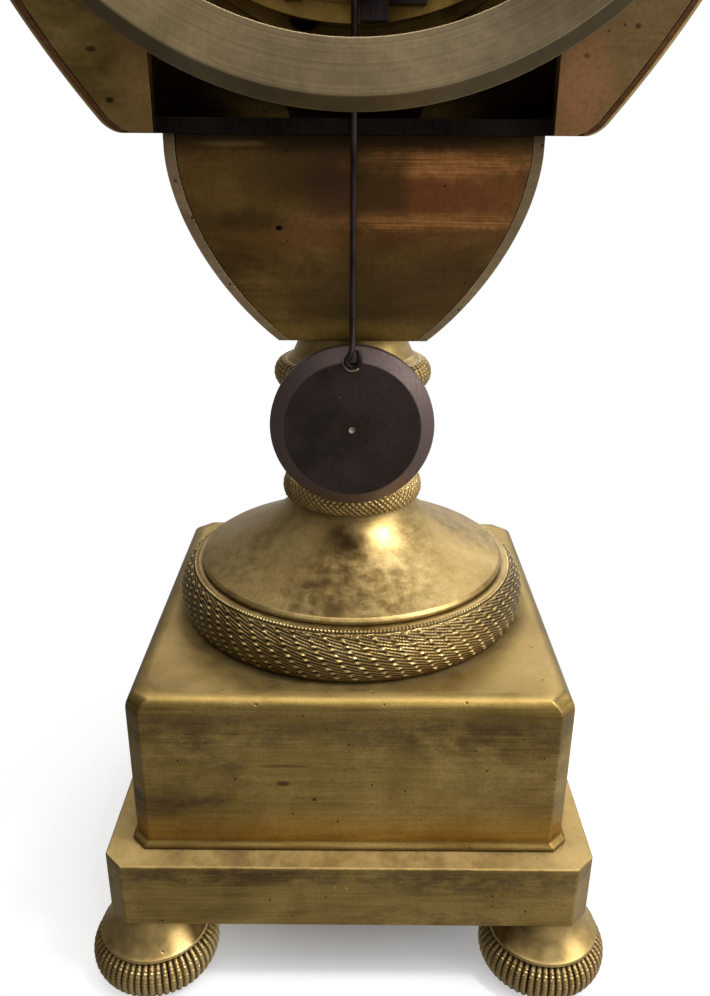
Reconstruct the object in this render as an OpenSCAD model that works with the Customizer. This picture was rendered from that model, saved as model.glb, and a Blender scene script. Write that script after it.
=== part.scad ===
// Gilt bronze urn mantel clock with a round striking movement and a silk-suspended pendulum.
// Frame: origin on the floor under the middle of the base, +Z up, dial towards -Y, back towards +Y.

/* [Base] */
// Half width of the square plinth
plinth_half = 52.5; // [50:0.5:56]
// Canted corner of the plinth, along each side
plinth_cant = 3.95; // [2:0.05:6]
// Thickness of the plinth slab
plinth_height = 16; // [12:1:20]
// Height of the turned feet
foot_height = 18; // [16:1:24]
// Distance of each foot's centre from the middle, in X and Y
foot_offset = 44.2; // [42:0.1:46]
// Half width of the square die on the plinth
die_half = 46.5; // [44:0.5:48]
// Canted corner of the die, along each side
die_cant = 3.2; // [2:0.1:5]
// Height of the die's vertical sides
die_side = 33.6; // [28:0.1:38]
// Height of the rounded moulding over the die's sides
die_moulding = 4.1; // [3:0.1:6]

/* [Stem] */
// Largest radius of the braided band
band_radius = 41.2; // [39:0.1:42]
// Height of the braided band
band_height = 11.3; // [9:0.1:13]
// Height of the trumpet-shaped foot above the band
trumpet_height = 16.2; // [12:0.1:18]
// Largest radius of the knop's ribbed ring
knop_radius = 17.3; // [15:0.1:19]

/* [Urn] */
// Height of the lower cup
cup_height = 38.9; // [36:0.1:42]
// Radius of the cup at its top
cup_radius = 39.8; // [38:0.1:41]
// Distance of the cup's flat back from the axis
cup_back = 17.3; // [16:0.1:18]
// Wall of the cast shells
wall = 2.8; // [2.4:0.1:3.2]
// Wall of the cup
cup_wall = 2.1; // [1.8:0.1:2.6]
// Half width of the urn's back at its widest
urn_half = 74; // [72:0.5:78]
// Distance of the urn's flat back from the axis
urn_back = 31.5; // [30:0.5:33]
// Half width of the pendulum notch in the urn's back
notch_half = 34.6; // [30:0.1:36]

/* [Clock] */
// Radius of the enamel dial
dial_radius = 54; // [50:0.5:55]
// Outer radius of the rear ring
ring_radius = 67; // [66:0.1:69]
// Inner radius of the rear ring
ring_bore = 56.3; // [55.2:0.1:57]
// Radius of the movement's two plates
plate_radius = 51.5; // [50:0.1:52]
// Radius of the pendulum bob
bob_radius = 16.7; // [15:0.1:18]

/* [Hidden] */
$fn = 96;

gold = "goldenrod";
old_brass = "darkkhaki";
movement_brass = "burlywood";
steel = "slategray";
eps = 0.01;

// Heights above the floor
plinth_top = foot_height + plinth_height;
die_top = plinth_top + die_side + die_moulding;
band_top = die_top + band_height;
trumpet_top = band_top + trumpet_height;
neck_band_top = trumpet_top + 4.8;
knop_z = neck_band_top + 24.4;
cup_bottom = knop_z + 10.3;
cup_top = cup_bottom + cup_height;
floor_top = cup_top + 2.8;
dial_z = cup_top + 70.4;
urn_wide_z = cup_top + 81.4;
urn_top = cup_top + 152.4;
plate_top = urn_top - 12;
shelf = 3.5;
rod_radius = 3;
nut_height = 4;

// Depths along Y of the pieces around the movement
collar_front = -47;
dial_front = -44.4;
dial_back = -42.4;
ring_face_front = 38.8;
ring_face_back = 42;
front_plate_y = -30.5;
back_plate_y = 11;
plate_thick = 2;
pendulum_y = 23.6;
suspension_z = dial_z + 40;
bob_z = suspension_z - 165.4;
bell_z = dial_z - 16;

// Wheel train: arbor places in the dial's plane, as [x, z]
centre = [0, dial_z];
going = [21, dial_z - 16];
strike = [-21, dial_z - 16];
escape = [0, dial_z + 22.5];
barrel_teeth = 84;
centre_leaves = 14;
great_module = 2 * norm(going - centre) / (barrel_teeth + centre_leaves);
centre_module = 0.5;
third_module = 0.45;
centre_third = centre_module * (80 + 8) / 2;
third_escape = third_module * (72 + 6) / 2;
third_up = (centre_third^2 - third_escape^2 + (escape.y - dial_z)^2) / (2 * (escape.y - dial_z));
third = [-sqrt(centre_third^2 - third_up^2), dial_z + third_up];
strike_distance = great_module * (barrel_teeth + 12) / 2;
strike_second = strike + [-17, sqrt(strike_distance^2 - 17^2)];
motion_distance = 12;
motion = [0, dial_z + motion_distance];
hammer_pivot = [-37, dial_z - 26];
clear = 0.06;
pivot = 0.8;
winder_shoulder = 1.2;
strap_x = 59.2;
cup_plate_depth = 2.5;
cup_seam = 0.15;

// ---------- outlines ----------

// Points along an elliptical arc about (cr, cz)
function arc(cr, cz, a, b, from, to, n) =
    [for (i = [0:n]) let (t = from + (to - from) * i / n) [cr + a * cos(t), cz + b * sin(t)]];

// Radius of the cup's outside at height z
function cup_r(z) = let (drop = max(0, cup_top - 2.6 - z)) cup_radius * (1 - (drop / 58.4)^1.8);

// Half width of the urn's flat back at height z, with rounded lower corners
function urn_w(z) =
    let (low = z < urn_wide_z,
         t = low ? (urn_wide_z - z) / 120.5 : (z - urn_wide_z) / 85.2,
         corner = max(0, cup_top + 2 - z))
    urn_half * (1 - t^(low ? 2.1 : 2.4)) - (2 - sqrt(max(0, 4 - corner^2)));

// Depth of the urn's front and back from the axis at height z
function urn_front(z) = let (t = max(0, z - urn_wide_z) / (urn_top - urn_wide_z)) 47 - 21 * t^2.4;
function urn_rear(z) = z <= plate_top ? urn_back
    : urn_back - 6 * ((z - plate_top) / (urn_top - plate_top))^2;

// Plan of the urn at height z, drawn in by inset
function urn_plan(z, inset = 0) =
    let (w = urn_w(z) - inset, a = w + 3 * (1 - max(0, z - plate_top) / 12),
         f = urn_front(z) - inset, r = urn_rear(z) - inset,
         e = 2 + 0.9 * min(1, (urn_top - z) / 60), steps = 22)
    concat([for (i = [0:steps]) let (t = 180 * i / steps)
                [a * sign(cos(t)) * abs(cos(t))^(2 / e), -f * sin(t)^(2 / e)]],
           [for (i = [1:4]) let (t = 90 * i / 4)
                [-(w + (a - w) * cos(t)), r * sin(t)]],
           z > plate_top ? [for (i = [1:4]) [-w + 2 * w * i / 5, r]] : [],
           [for (i = [4:-1:1]) let (t = 90 * i / 4)
                [w + (a - w) * cos(t), r * sin(t)]]);

module cant_square(half, cant) {
    polygon([[half, half - cant], [half - cant, half], [cant - half, half], [-half, half - cant],
        [-half, cant - half], [cant - half, -half], [half - cant, -half], [half, cant - half]]);
}

// Extrudes an (x, z) outline along Y from y0 to y1
module along_y(y0, y1) {
    translate([0, y1, 0]) rotate([90, 0, 0]) linear_extrude(y1 - y0) children();
}

module rod_y(place, r, y0, y1) {
    along_y(y0, y1) translate(place) circle(r);
}

// Turns an (r, y) outline about a line along Y through place
module turned_y(place, points) {
    translate([place.x, 0, place.y]) rotate([-90, 0, 0]) rotate_extrude() polygon(points);
}

// Toothed outline: a tooth points along angle phase
module toothed(place, teeth, module_mm, phase) {
    p = 360 / teeth;
    r = module_mm * teeth / 2;
    edge = [[-0.27, -1.35], [-0.19, 0], [-0.07, 0.75], [0.07, 0.75], [0.19, 0], [0.27, -1.35]];
    translate(place) polygon([for (i = [0:teeth - 1], e = edge)
        let (a = phase + p * (i + e.x), q = r + e.y * module_mm) [q * cos(a), q * sin(a)]]);
}

// Openings between the spokes of a crossed-out wheel
module crossings(place, inner, outer, spokes, spoke) {
    translate(place) difference() {
        circle(outer);
        circle(inner);
        for (i = [0:spokes - 1]) rotate(360 * i / spokes + 45)
            translate([0, -spoke / 2]) square([outer + 1, spoke]);
    }
}

function heading(from, to) = atan2(to.y - from.y, to.x - from.x);

module nut(x, y, z, across = 5, height = nut_height, bore = rod_radius) {
    translate([x, y, z]) difference() {
        cylinder(r = across, h = height, $fn = 6);
        translate([0, 0, -1]) cylinder(r = bore, h = height + 2);
    }
}

// ---------- base ----------

module foot(sx, sy) {
    torus_h = 10.4;
    color(gold) translate([sx * foot_offset, sy * foot_offset, 0]) {
        rotate_extrude() polygon(concat([[0, 0], [10.5, 0]],
            arc(8.8, torus_h / 2, 5.1, torus_h / 2, -75, 75, 16),
            [[12.2, torus_h], [12, torus_h + 0.7]],
            [for (i = [0:10]) let (t = i / 10)
                [7.6 + 4.1 * (1 - t)^1.7, torus_h + 0.9 + (foot_height - torus_h - 0.9) * t]],
            [[0, foot_height]]));
        translate([0, 0, foot_height - 1]) cylinder(r = 2.4, h = 11.5);
    }
}

module foot_front_left() foot(-1, -1);
module foot_front_right() foot(1, -1);
module foot_rear_left() foot(-1, 1);
module foot_rear_right() foot(1, 1);

module base_nuts() {
    color(steel) {
        for (sx = [-1, 1], sy = [-1, 1])
            nut(sx * foot_offset, sy * foot_offset, foot_height + 6, 4.6, 3.4, 2.4);
        nut(0, 0, plinth_top - shelf - nut_height);
        nut(0, 0, cup_bottom + wall);
    }
}

module plinth() {
    inner = plinth_half - 3.5;
    color(gold) difference() {
        union() {
            difference() {
                translate([0, 0, foot_height]) linear_extrude(plinth_height)
                    cant_square(plinth_half, plinth_cant);
                translate([0, 0, foot_height - 1]) linear_extrude(plinth_height + 1 - shelf)
                    cant_square(inner, 3);
            }
            for (sx = [-1, 1], sy = [-1, 1])
                translate([sx * foot_offset, sy * foot_offset, foot_height]) cylinder(r = 7, h = 6);
        }
        for (sx = [-1, 1], sy = [-1, 1])
            translate([sx * foot_offset, sy * foot_offset, foot_height - 1])
                cylinder(r = 2.5, h = 8);
        translate([0, 0, plinth_top - shelf - 1]) cylinder(r = 3.1, h = shelf + 2);
    }
}

module die() {
    side_top = plinth_top + die_side;
    steps = 6;
    color(gold) difference() {
        union() {
            translate([0, 0, plinth_top]) linear_extrude(1.4)
                cant_square(die_half + 0.9, die_cant);
            translate([0, 0, plinth_top + 1]) linear_extrude(die_side - 1)
                cant_square(die_half, die_cant);
            for (i = [0:steps - 1]) hull() for (k = [i, i + 1])
                let (t = 90 * k / steps)
                translate([0, 0, side_top + (die_moulding - eps) * sin(t)]) linear_extrude(eps)
                    cant_square(die_half - 4.2 * (1 - cos(t)), die_cant + 0.6 * (1 - cos(t)));
        }
        translate([0, 0, plinth_top - 1]) linear_extrude(die_side + die_moulding + 1 - shelf)
            cant_square(die_half - 4.4, 3);
        translate([0, 0, die_top - shelf - 1]) cylinder(r = 3.1, h = shelf + 2);
    }
}

// ---------- stem ----------

module foot_band() {
    color(gold) rotate_extrude() polygon(concat([[33, die_top], [39.2, die_top]],
        arc(band_radius - 5.4, die_top + 4.6, 5.4, 6.9, -40, 78, 18),
        [[36.6, band_top], [33, band_top]]));
}

module pedestal_foot() {
    color(gold) rotate_extrude() polygon(concat(
        [[3.1, die_top], [32.95, die_top], [32.95, band_top + 0.05], [36, band_top + 0.05]],
        [for (i = [0:16]) let (t = i / 16)
            [14 + 19.7 * (1 - t)^1.7 + 2.3 * (1 - t), band_top + 1.3 + (trumpet_height - 1.3) * t]],
        [[13.95, trumpet_top], [13.95, neck_band_top], [3.1, neck_band_top]]));
}

module neck_band() {
    color(gold) rotate_extrude() polygon(concat([[14, trumpet_top]],
        arc(13.8, trumpet_top + 2.1, 2.3, 3, -44, 62, 8), [[14, neck_band_top]]));
}

module neck_knop() {
    color(gold) rotate_extrude() polygon(concat([[3.1, neck_band_top], [13.7, neck_band_top]],
        [for (i = [1:14]) let (t = i / 14)
            [8 + 5.7 * abs(2 * t - 1)^1.8, neck_band_top + 1 + 20 * t]],
        arc(knop_radius - 3.1, knop_z, 3.1, 3.1, -80, 80, 12),
        [[13.9, knop_z + 3.9]],
        [for (i = [0:6]) let (t = i / 6)
            [11.7 + 1.8 * (1 - t)^2, knop_z + 4.2 + (cup_bottom - knop_z - 4.2) * t]],
        [[3.1, cup_bottom]]));
}

module tie_rod() {
    color(steel) translate([0, 0, plinth_top - shelf - nut_height - 2])
        cylinder(r = rod_radius, h = cup_bottom + wall + nut_height + 2 - (plinth_top - shelf - nut_height - 2));
}

// ---------- urn ----------

// Half width of the cup's open back at height z
function cup_half(z) = sqrt(cup_r(z)^2 - cup_back^2);

// Plan of the cup at height z, drawn in by inset and carried past its back
function cup_plan(z, inset, past) =
    let (a = cup_half(z) - inset, d = cup_r(z) + cup_back - inset, e = 2 / 2.4, steps = 24)
    concat([for (i = [0:steps]) let (t = 180 * i / steps)
                [a * sign(cos(t)) * abs(cos(t))^e, cup_back - d * sin(t)^e]],
           past > 0 ? [[-a, cup_back + past], [a, cup_back + past]] : []);

// Stacks hulls between plans at the levels, so a shell follows its curve
module lofted(levels, plans) {
    lip = 0.3;
    for (i = [0:len(levels) - 2]) hull() for (k = [0, 1])
        translate([0, 0, levels[i + k] - k * lip]) linear_extrude(lip) polygon(plans[i + k]);
}

function even_levels(low, high, steps) = [for (i = [0:steps]) low + (high - low) * i / steps];

module cup_shell() {
    floor_z = cup_bottom + wall;
    outer = even_levels(cup_bottom, cup_top, 20);
    inner = even_levels(floor_z, cup_top + 1, 17);
    slot = [for (z = [cup_bottom - 1, cup_bottom + 1.6, floor_z + 0.4])
        [cup_half(z) - cup_wall, z]];
    color(gold) difference() {
        lofted(outer, [for (z = outer) cup_plan(z, 0, 0)]);
        lofted(inner, [for (z = inner) cup_plan(z, cup_wall, 1)]);
        along_y(cup_back - cup_plate_depth - 0.1, cup_back + 5)
            polygon(concat(slot, [for (i = [2:-1:0]) [-slot[i].x, slot[i].y]]));
        translate([0, 0, cup_bottom - 1]) cylinder(r = 3.1, h = wall + 2, $fn = 24);
    }
}

module cup_back_plate() {
    levels = even_levels(cup_bottom, cup_top, 24);
    inset = cup_wall + cup_seam;
    color("peru") along_y(cup_back - cup_plate_depth, cup_back) polygon(concat(
        [for (z = levels) [cup_half(z) - inset, z]],
        [for (i = [24:-1:0]) [inset - cup_half(levels[i]), levels[i]]]));
}

module floor_plate() {
    color("dimgray") difference() {
        translate([0, 0, cup_top]) linear_extrude(floor_top - cup_top)
            polygon(urn_plan(cup_top, wall + 0.1));
        translate([-60, 20, cup_top - 1]) cube([120, 40, 10]);
    }
}

// Heights that follow the rounded lower corners closely and the rest of the urn evenly
function urn_levels(low, high, steps) =
    concat([for (i = [0:2]) low + 2 * (1 - cos(45 * i))],
           [for (i = [1:steps]) low + 2 + (high - low - 2) * i / steps]);

module urn_solid(inset, levels) {
    lofted(levels, [for (z = levels) urn_plan(z, inset)]);
}

// Outline of the urn's flat back, drawn in by inset
function back_outline(inset, levels) =
    concat([for (z = levels) [urn_w(z) - inset, z]],
           [for (i = [len(levels) - 1:-1:0]) [inset - urn_w(levels[i]), levels[i]]]);

back_levels = urn_levels(cup_top, plate_top, 24);
window_levels = concat([cup_top - 2], [for (i = [1:len(back_levels) - 1]) back_levels[i] + 0.07]);

module belly_shell() {
    color(gold) difference() {
        urn_solid(0, urn_levels(cup_top, urn_top, 22));
        urn_solid(wall, urn_levels(cup_top - 1, urn_top - wall, 19));
        along_y(20, urn_back + 5) polygon(back_outline(1.1, window_levels));
        along_y(-70, -10) translate(centre) circle(64.15, $fn = 80);
        translate([0, 0, urn_top - 10]) cylinder(r = 2.6, h = 20, $fn = 24);
    }
}

module belly_back_plate() {
    color("peru") along_y(urn_back - wall, urn_back) difference() {
        polygon(back_outline(1.25, back_levels));
        translate([0, dial_z]) circle(62);
        translate([-notch_half, cup_top - 1]) square([2 * notch_half, dial_z - cup_top]);
        for (s = [-1, 1]) translate([s * 53, dial_z + 48]) circle(1.3);
    }
}

module plate_screws() {
    color(steel) for (s = [-1, 1]) let (place = [s * 53, dial_z + 48]) {
        rod_y(place, 1.25, urn_back - wall - 3, urn_back + 0.5);
        rod_y(place, 2.6, urn_back, urn_back + 1.4);
    }
}

module shoulder_collar() {
    z = urn_top;
    color(gold) rotate_extrude() polygon(concat([[12, z], [25.5, z]],
        arc(24.5, z + 2.5, 3, 2.5, -60, 60, 8),
        [for (i = [0:10]) let (t = i / 10)
            [18.5 + 6.5 * abs(1.9 * t - 1)^2, z + 5.2 + 12.5 * t]],
        [[27.5, z + 18.5], [27.5, z + 20.5], [26.5, z + 21], [12, z + 21]]));
}

module lid() {
    z = urn_top + 21;
    color(gold) rotate_extrude() polygon(concat([[2.6, z], [25.5, z], [25.5, z + 1.5]],
        [for (i = [0:14]) let (t = 90 * i / 14) [7 + 17.6 * cos(t), z + 1.8 + 10.5 * sin(t)]],
        [[6, z + 13.5], [5.2, z + 16], [2.6, z + 16]]));
}

module finial() {
    z = urn_top + 37;
    color(gold) {
        rotate_extrude() polygon(concat([[0, z], [6.6, z], [6.6, z + 1.6], [4.6, z + 2.6]],
            [for (i = [0:15]) let (t = i / 16) [8.6 * sin(28 + 152 * t), z + 3.4 + 20 * t]],
            [[0, z + 23.4]]));
        translate([0, 0, urn_top - 8]) cylinder(r = 2.5, h = 46);
    }
}

// ---------- dial side ----------

hinge = [-68.4, -48.8];

module front_collar() {
    color(gold) difference() {
        union() {
            turned_y(centre, [[57, -24], [64, -24], [64, collar_front + 1], [63, collar_front],
                [57, collar_front]]);
            for (z = [dial_z - 11, dial_z + 5.3]) {
                translate([hinge.x, hinge.y, z]) cylinder(r = 1.8, h = 5.7);
                translate([hinge.x - 1, collar_front - 0.2, z]) cube([6.5, 2.4, 5.7]);
            }
        }
        translate([hinge.x, hinge.y, dial_z - 12]) cylinder(r = 0.8, h = 24);
    }
}

module dial_ring() {
    color(movement_brass) {
        turned_y(centre, [[49, -38.4], [56.9, -38.4], [56.9, dial_back], [49, dial_back]]);
        for (a = [20, 160, 240])
            rod_y(centre + 49.8 * [cos(a), sin(a)], 1.6, dial_back + 2, front_plate_y);
    }
}

module dial() {
    color("ivory") along_y(dial_front, dial_back) difference() {
        translate(centre) circle(dial_radius);
        translate(centre) circle(3.5);
        for (place = [going, strike]) translate(place) circle(3.4);
    }
}

module rear_ring() {
    color(old_brass) difference() {
        turned_y(centre, [[ring_bore, ring_face_back], [ring_bore, ring_face_front],
            [62, ring_face_front], [62, urn_back], [64, urn_back], [64, ring_face_front],
            [ring_radius, ring_face_front], [ring_radius, ring_face_back - 2.2],
            [ring_radius - 2.4, ring_face_back]]);
        for (s = [-1, 1]) rod_y([s * strap_x, dial_z], 1.3, 30, 50);
    }
}

module bezel_straps() {
    color(movement_brass) for (s = [-1, 1]) mirror([s < 0 ? 1 : 0, 0, 0]) {
        translate([53.2, -38.4, dial_z - 5]) cube([1.6, 38.4 + ring_face_front, 10]);
        difference() {
            translate([54, ring_face_front - 1.6, dial_z - 5]) cube([7.6, 1.6, 10]);
            rod_y([strap_x, dial_z], 1.3, 30, 50);
        }
    }
}

module strap_screws() {
    color(steel) for (s = [-1, 1]) let (place = [s * strap_x, dial_z]) {
        rod_y(place, 1.25, ring_face_front - 4, ring_face_back + 1);
        rod_y(place, 2.5, ring_face_back, ring_face_back + 1.6);
    }
}

module bezel_frame() {
    color(gold) difference() {
        union() {
            turned_y(centre, concat([[54, -47.5], [66, -47.5]],
                arc(60, -48.5, 6, 6, 0, -90, 10), [[57.5, -54.5], [54, -51]]));
            translate([hinge.x, hinge.y, dial_z - 5]) cylinder(r = 1.8, h = 10);
            translate([hinge.x, hinge.y - 1.6, dial_z - 5]) cube([4, 2.2, 10]);
            translate([65, -50.5, dial_z - 4]) cube([3.2, 2.4, 8]);
        }
        translate([hinge.x, hinge.y, dial_z - 12]) cylinder(r = 0.88, h = 24);
        rod_y(centre, 55.5, -53, -51.2);
    }
}

module bezel_glass() {
    color("azure", 0.4) rod_y(centre, 55.4, -52.9, -51.3);
}

module hinge_pin() {
    color(steel) translate([hinge.x, hinge.y, dial_z - 11.6]) cylinder(r = 0.8, h = 23.2);
}

// ---------- movement frame ----------

function pillar(i) = let (a = [50, 130, 284, 358][i]) centre + 46.5 * [cos(a), sin(a)];

module front_plate() {
    color(movement_brass) along_y(front_plate_y, front_plate_y + plate_thick) difference() {
        translate(centre) circle(plate_radius);
        translate(centre) circle(1.56);
        for (place = [going, strike]) translate(place) circle(2.6 + clear);
        for (place = [third, escape, strike_second, [0, suspension_z]])
            translate(place) circle(pivot + clear);
        for (i = [0:3]) translate(pillar(i)) circle(1.6);
    }
}

module back_plate() {
    color(movement_brass) {
        along_y(back_plate_y, back_plate_y + plate_thick) difference() {
            translate(centre) circle(plate_radius);
            for (place = [centre, third, escape, going, strike])
                translate(place) circle((place == going || place == strike ? 1.5 : pivot) + clear);
            translate(strike_second) circle(1.5 + clear);
            translate([0, suspension_z]) circle(1.5 + clear);
            for (i = [0:3]) translate(pillar(i)) circle(1.6);
        }
        rod_y(hammer_pivot, 1.2, back_plate_y + 1, 18.6);
    }
}

module plate_pillars() {
    color(movement_brass) for (i = [0:3]) {
        rod_y(pillar(i), 1.6, front_plate_y - 2.6, back_plate_y + plate_thick + 2.6);
        turned_y(pillar(i), [[0, front_plate_y + 2], [4, front_plate_y + 2], [4, front_plate_y + 5],
            [2.6, front_plate_y + 8], [2.6, back_plate_y - 6], [4, back_plate_y - 3],
            [4, back_plate_y], [0, back_plate_y]]);
    }
}

module pillar_nuts() {
    color(steel) for (i = [0:3], y = [front_plate_y - 2.2, back_plate_y + plate_thick])
        along_y(y, y + 2.2) translate(pillar(i)) difference() {
            circle(3.2, $fn = 6);
            circle(1.6);
        }
}

module clicks() {
    color(steel) for (place = [going, strike])
        along_y(-32.4, front_plate_y) translate(place) polygon([[6.7, -1.4], [6.1, 1.2],
            [7.4, 1.6], [10.8, -6], [12.6, -8.2], [10, -10.2], [8, -7.6]]);
}

module suspension_cock() {
    z = suspension_z;
    color(movement_brass) {
        difference() {
            translate([-11, back_plate_y + plate_thick, z + 3.4]) cube([22, 2.4, 6]);
            rod_y([0, z], 5.5, 10, 30);
        }
        translate([-3, back_plate_y + plate_thick, z + 4.4]) cube([6, 13, 3]);
        rod_y([0, z + 1.9], 1, 20.6, 27);
        translate([-1, 25.6, z + 1.5]) cube([2, 1.4, 5.5]);
        translate([-1.5, 24, z + 4.4]) cube([3, 2, 3]);
    }
}

module bell_stand() {
    foot_z = dial_z - 48.5;
    color(steel) {
        translate([-6, back_plate_y + plate_thick, foot_z - 3]) cube([5, 5.5, 6.5]);
        translate([-13, back_plate_y + plate_thick, foot_z]) cube([8, 3, 10]);
        translate([-13, back_plate_y + plate_thick, foot_z + 7.2]) cube([2.8, 16.6, 2.8]);
        translate([-11.6, 28.2, foot_z + 8.6]) rotate([0, atan2(11.6, bell_z - foot_z - 8.6), 0])
            translate([-1.4, -1.4, 0]) cube([2.8, 2.8, norm([11.6, bell_z - foot_z - 8.6])]);
        rod_y([0, bell_z], 3, 26.8, 35.9);
        rod_y([0, bell_z], 1.6, 35, 42.4);
    }
}

module bell() {
    t = 1.5;
    color("silver") turned_y([0, bell_z], concat(
        [for (i = [0:12]) let (a = 90 * i / 12) [1.7 + 30.3 * cos(a)^0.7, 26 + 12 * sin(a)]],
        [[1.7, 36]],
        [for (i = [12:-1:0]) let (a = 90 * i / 12)
            [1.8 + (30.3 - t) * cos(a)^0.7, 26 + (12 - 2) * sin(a)]]));
}

module bell_nut() {
    color(steel) along_y(38, 41) translate([0, bell_z]) difference() {
        circle(3.8, $fn = 6);
        circle(1.6);
    }
}

// ---------- hands and motion work ----------

module centre_arbor() {
    color(movement_brass) {
        rod_y(centre, 1, -50.4, -26);
        rod_y(centre, 1.5, front_plate_y + 0.1, back_plate_y - 0.3);
        rod_y(centre, pivot, back_plate_y - 1, back_plate_y + 1.9);
        along_y(-6.5, -2.4)
            toothed(centre, centre_leaves, great_module, heading(centre, going) + 180 / centre_leaves);
        along_y(2, 3.5) difference() {
            toothed(centre, 80, centre_module, heading(centre, third));
            crossings(centre, 4.5, 16.5, 4, 2.4);
        }
    }
}

module cannon_pinion() {
    color(steel) difference() {
        union() {
            rod_y(centre, 2, -49.4, -32.6);
            along_y(-36, -32.6) toothed(centre, 12, 0.5, 90 + 15);
        }
        rod_y(centre, 1 + clear, -60, -20);
    }
}

// Hand with a ring near its tip, pointing up from the centre
module hand(length, ring, width, bore) {
    difference() {
        union() {
            circle(bore + 2);
            polygon([[-width, 0], [width, 0], [width * 0.7, length * 0.62 + ring * 0.4],
                [-width * 0.7, length * 0.62 + ring * 0.4]]);
            translate([0, length * 0.62 + ring]) circle(ring);
            polygon([[-width * 0.9, length * 0.62 + 1.7 * ring], [width * 0.9, length * 0.62 + 1.7 * ring],
                [0.15, length], [-0.15, length]]);
        }
        circle(bore);
        translate([0, length * 0.62 + ring * 1.12]) circle(ring * 0.62);
    }
}

module minute_hand() {
    color("midnightblue") along_y(-49.3, -48.3) translate(centre) rotate(-60) hand(45, 3.2, 1.1, 2);
}

module hour_hand() {
    color("midnightblue") along_y(-47.4, -46.4) translate(centre) rotate(55) hand(31, 3.6, 1.3, 3);
}

module hand_collet() {
    color(gold) difference() {
        turned_y(centre, [[1, -49.4], [2.6, -49.4], [2.2, -50.4], [1, -50.4]]);
        rod_y(centre, 1 + clear, -60, -20);
    }
}

module hour_wheel() {
    color(movement_brass) difference() {
        union() {
            rod_y(centre, 3, -47.4, -36.4);
            along_y(-38, -36.8) toothed(centre, 40, 0.48, 90);
        }
        rod_y(centre, 2 + clear, -60, -20);
    }
}

module minute_wheel() {
    color(movement_brass) {
        along_y(-34.8, -33.4) toothed(motion, 36, 0.5, -90);
        along_y(-38.4, -34.6) toothed(motion, 10, 0.48, -90 + 18);
        rod_y(motion, 1.4, -39, front_plate_y - 0.3);
    }
}

// ---------- going train ----------

module barrel(place, wheel_y, phase) {
    difference() {
        union() {
            rod_y(place, 18.5, -24, -5);
            rod_y(place, 8, -5.1, wheel_y + 0.1);
            along_y(wheel_y, wheel_y + 1.7) toothed(place, barrel_teeth, great_module, phase);
        }
        rod_y(place, 17.3, -22.6, -6.4);
        rod_y(place, 2.6 + clear, -60, 20);
    }
}

module winding_arbor(place) {
    ratchet_teeth = 16;
    color(steel) {
        rod_y(place, 2.6, -41.6, winder_shoulder);
        along_y(-50.2 + 2.6, -41.5) translate(place) square(3.4, center = true);
        rod_y(place, 1.5, winder_shoulder - 0.5, back_plate_y + 1.9);
        along_y(-32.3, front_plate_y - 0.2) translate(place)
            polygon([for (i = [0:ratchet_teeth - 1], k = [0, 1])
                let (a = 360 * i / ratchet_teeth + 6 + (k == 0 ? 0 : 2), q = k == 0 ? 5 : 6)
                [q * cos(a), q * sin(a)]]);
    }
}

module going_barrel() {
    color(gold) barrel(going, -4.6, heading(going, centre));
}

module going_winding_arbor() winding_arbor(going);

module third_wheel() {
    color(movement_brass) {
        rod_y(third, pivot, front_plate_y + 0.3, back_plate_y + 1.9);
        rod_y(third, 1, front_plate_y + 2.4, back_plate_y - 0.3);
        along_y(0.6, 5) toothed(third, 8, centre_module, heading(third, centre) + 180 / 8);
        along_y(7, 8.4) difference() {
            toothed(third, 72, third_module, heading(third, escape));
            crossings(third, 3.5, 13.2, 4, 2);
        }
    }
}

module escape_wheel() {
    teeth = 37;
    color(movement_brass) {
        rod_y(escape, pivot, front_plate_y + 0.3, front_plate_y + 3);
        rod_y(escape, 0.65, front_plate_y + 2.4, back_plate_y + 1.9);
        along_y(6, 9.6) toothed(escape, 6, third_module, heading(escape, third) + 180 / 6);
        rod_y(escape, 2, -22, -17.6);
        along_y(-20.4, -19.2) translate(escape) difference() {
            polygon([for (i = [0:teeth - 1], k = [0:2])
                let (a = (i + [0, 0.12, 0.75][k]) * 360 / teeth, q = [10.4, 12, 10.5][k])
                [q * cos(a), q * sin(a)]]);
            difference() {
                circle(9.2);
                circle(3);
                for (i = [0:3]) rotate(90 * i) translate([0, -0.8]) square([11, 1.6]);
            }
        }
    }
}

// ---------- pendulum ----------

module anchor() {
    z = suspension_z;
    color(steel) {
        rod_y([0, z], pivot, front_plate_y + 0.3, front_plate_y + 3);
        rod_y([0, z], 1.5, front_plate_y + 2.4, 19.4);
        along_y(-20.8, -18.8) union() {
            translate([0, z]) circle(2.6);
            for (s = [-1, 1]) polygon([[0, z + 2.4], [s * 2.4, z + 0.9], [s * 10.2, z - 6.5],
                [s * 8.9, z - 7.7], [s * 8, z - 7.1], [0, z - 1]]);
        }
    }
}

module crutch() {
    z = suspension_z;
    color(steel) difference() {
        union() {
            rod_y([0, z], 3, 16.2, 19);
            translate([-1.2, 17, z - 31]) cube([2.4, 1.6, 30]);
            translate([-2.4, 17, z - 31.5]) cube([4.8, 1.6, 3]);
            for (x = [-1.85, 0.8]) translate([x, 17, z - 31]) cube([1.05, 8.2, 2]);
        }
        rod_y([0, z], 1.5, 10, 30);
    }
}

module silk_loop() {
    color("sienna") for (x = [-0.9, 0.9])
        translate([x, pendulum_y, suspension_z - 10.5]) cylinder(r = 0.22, h = 11, $fn = 16);
}

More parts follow.
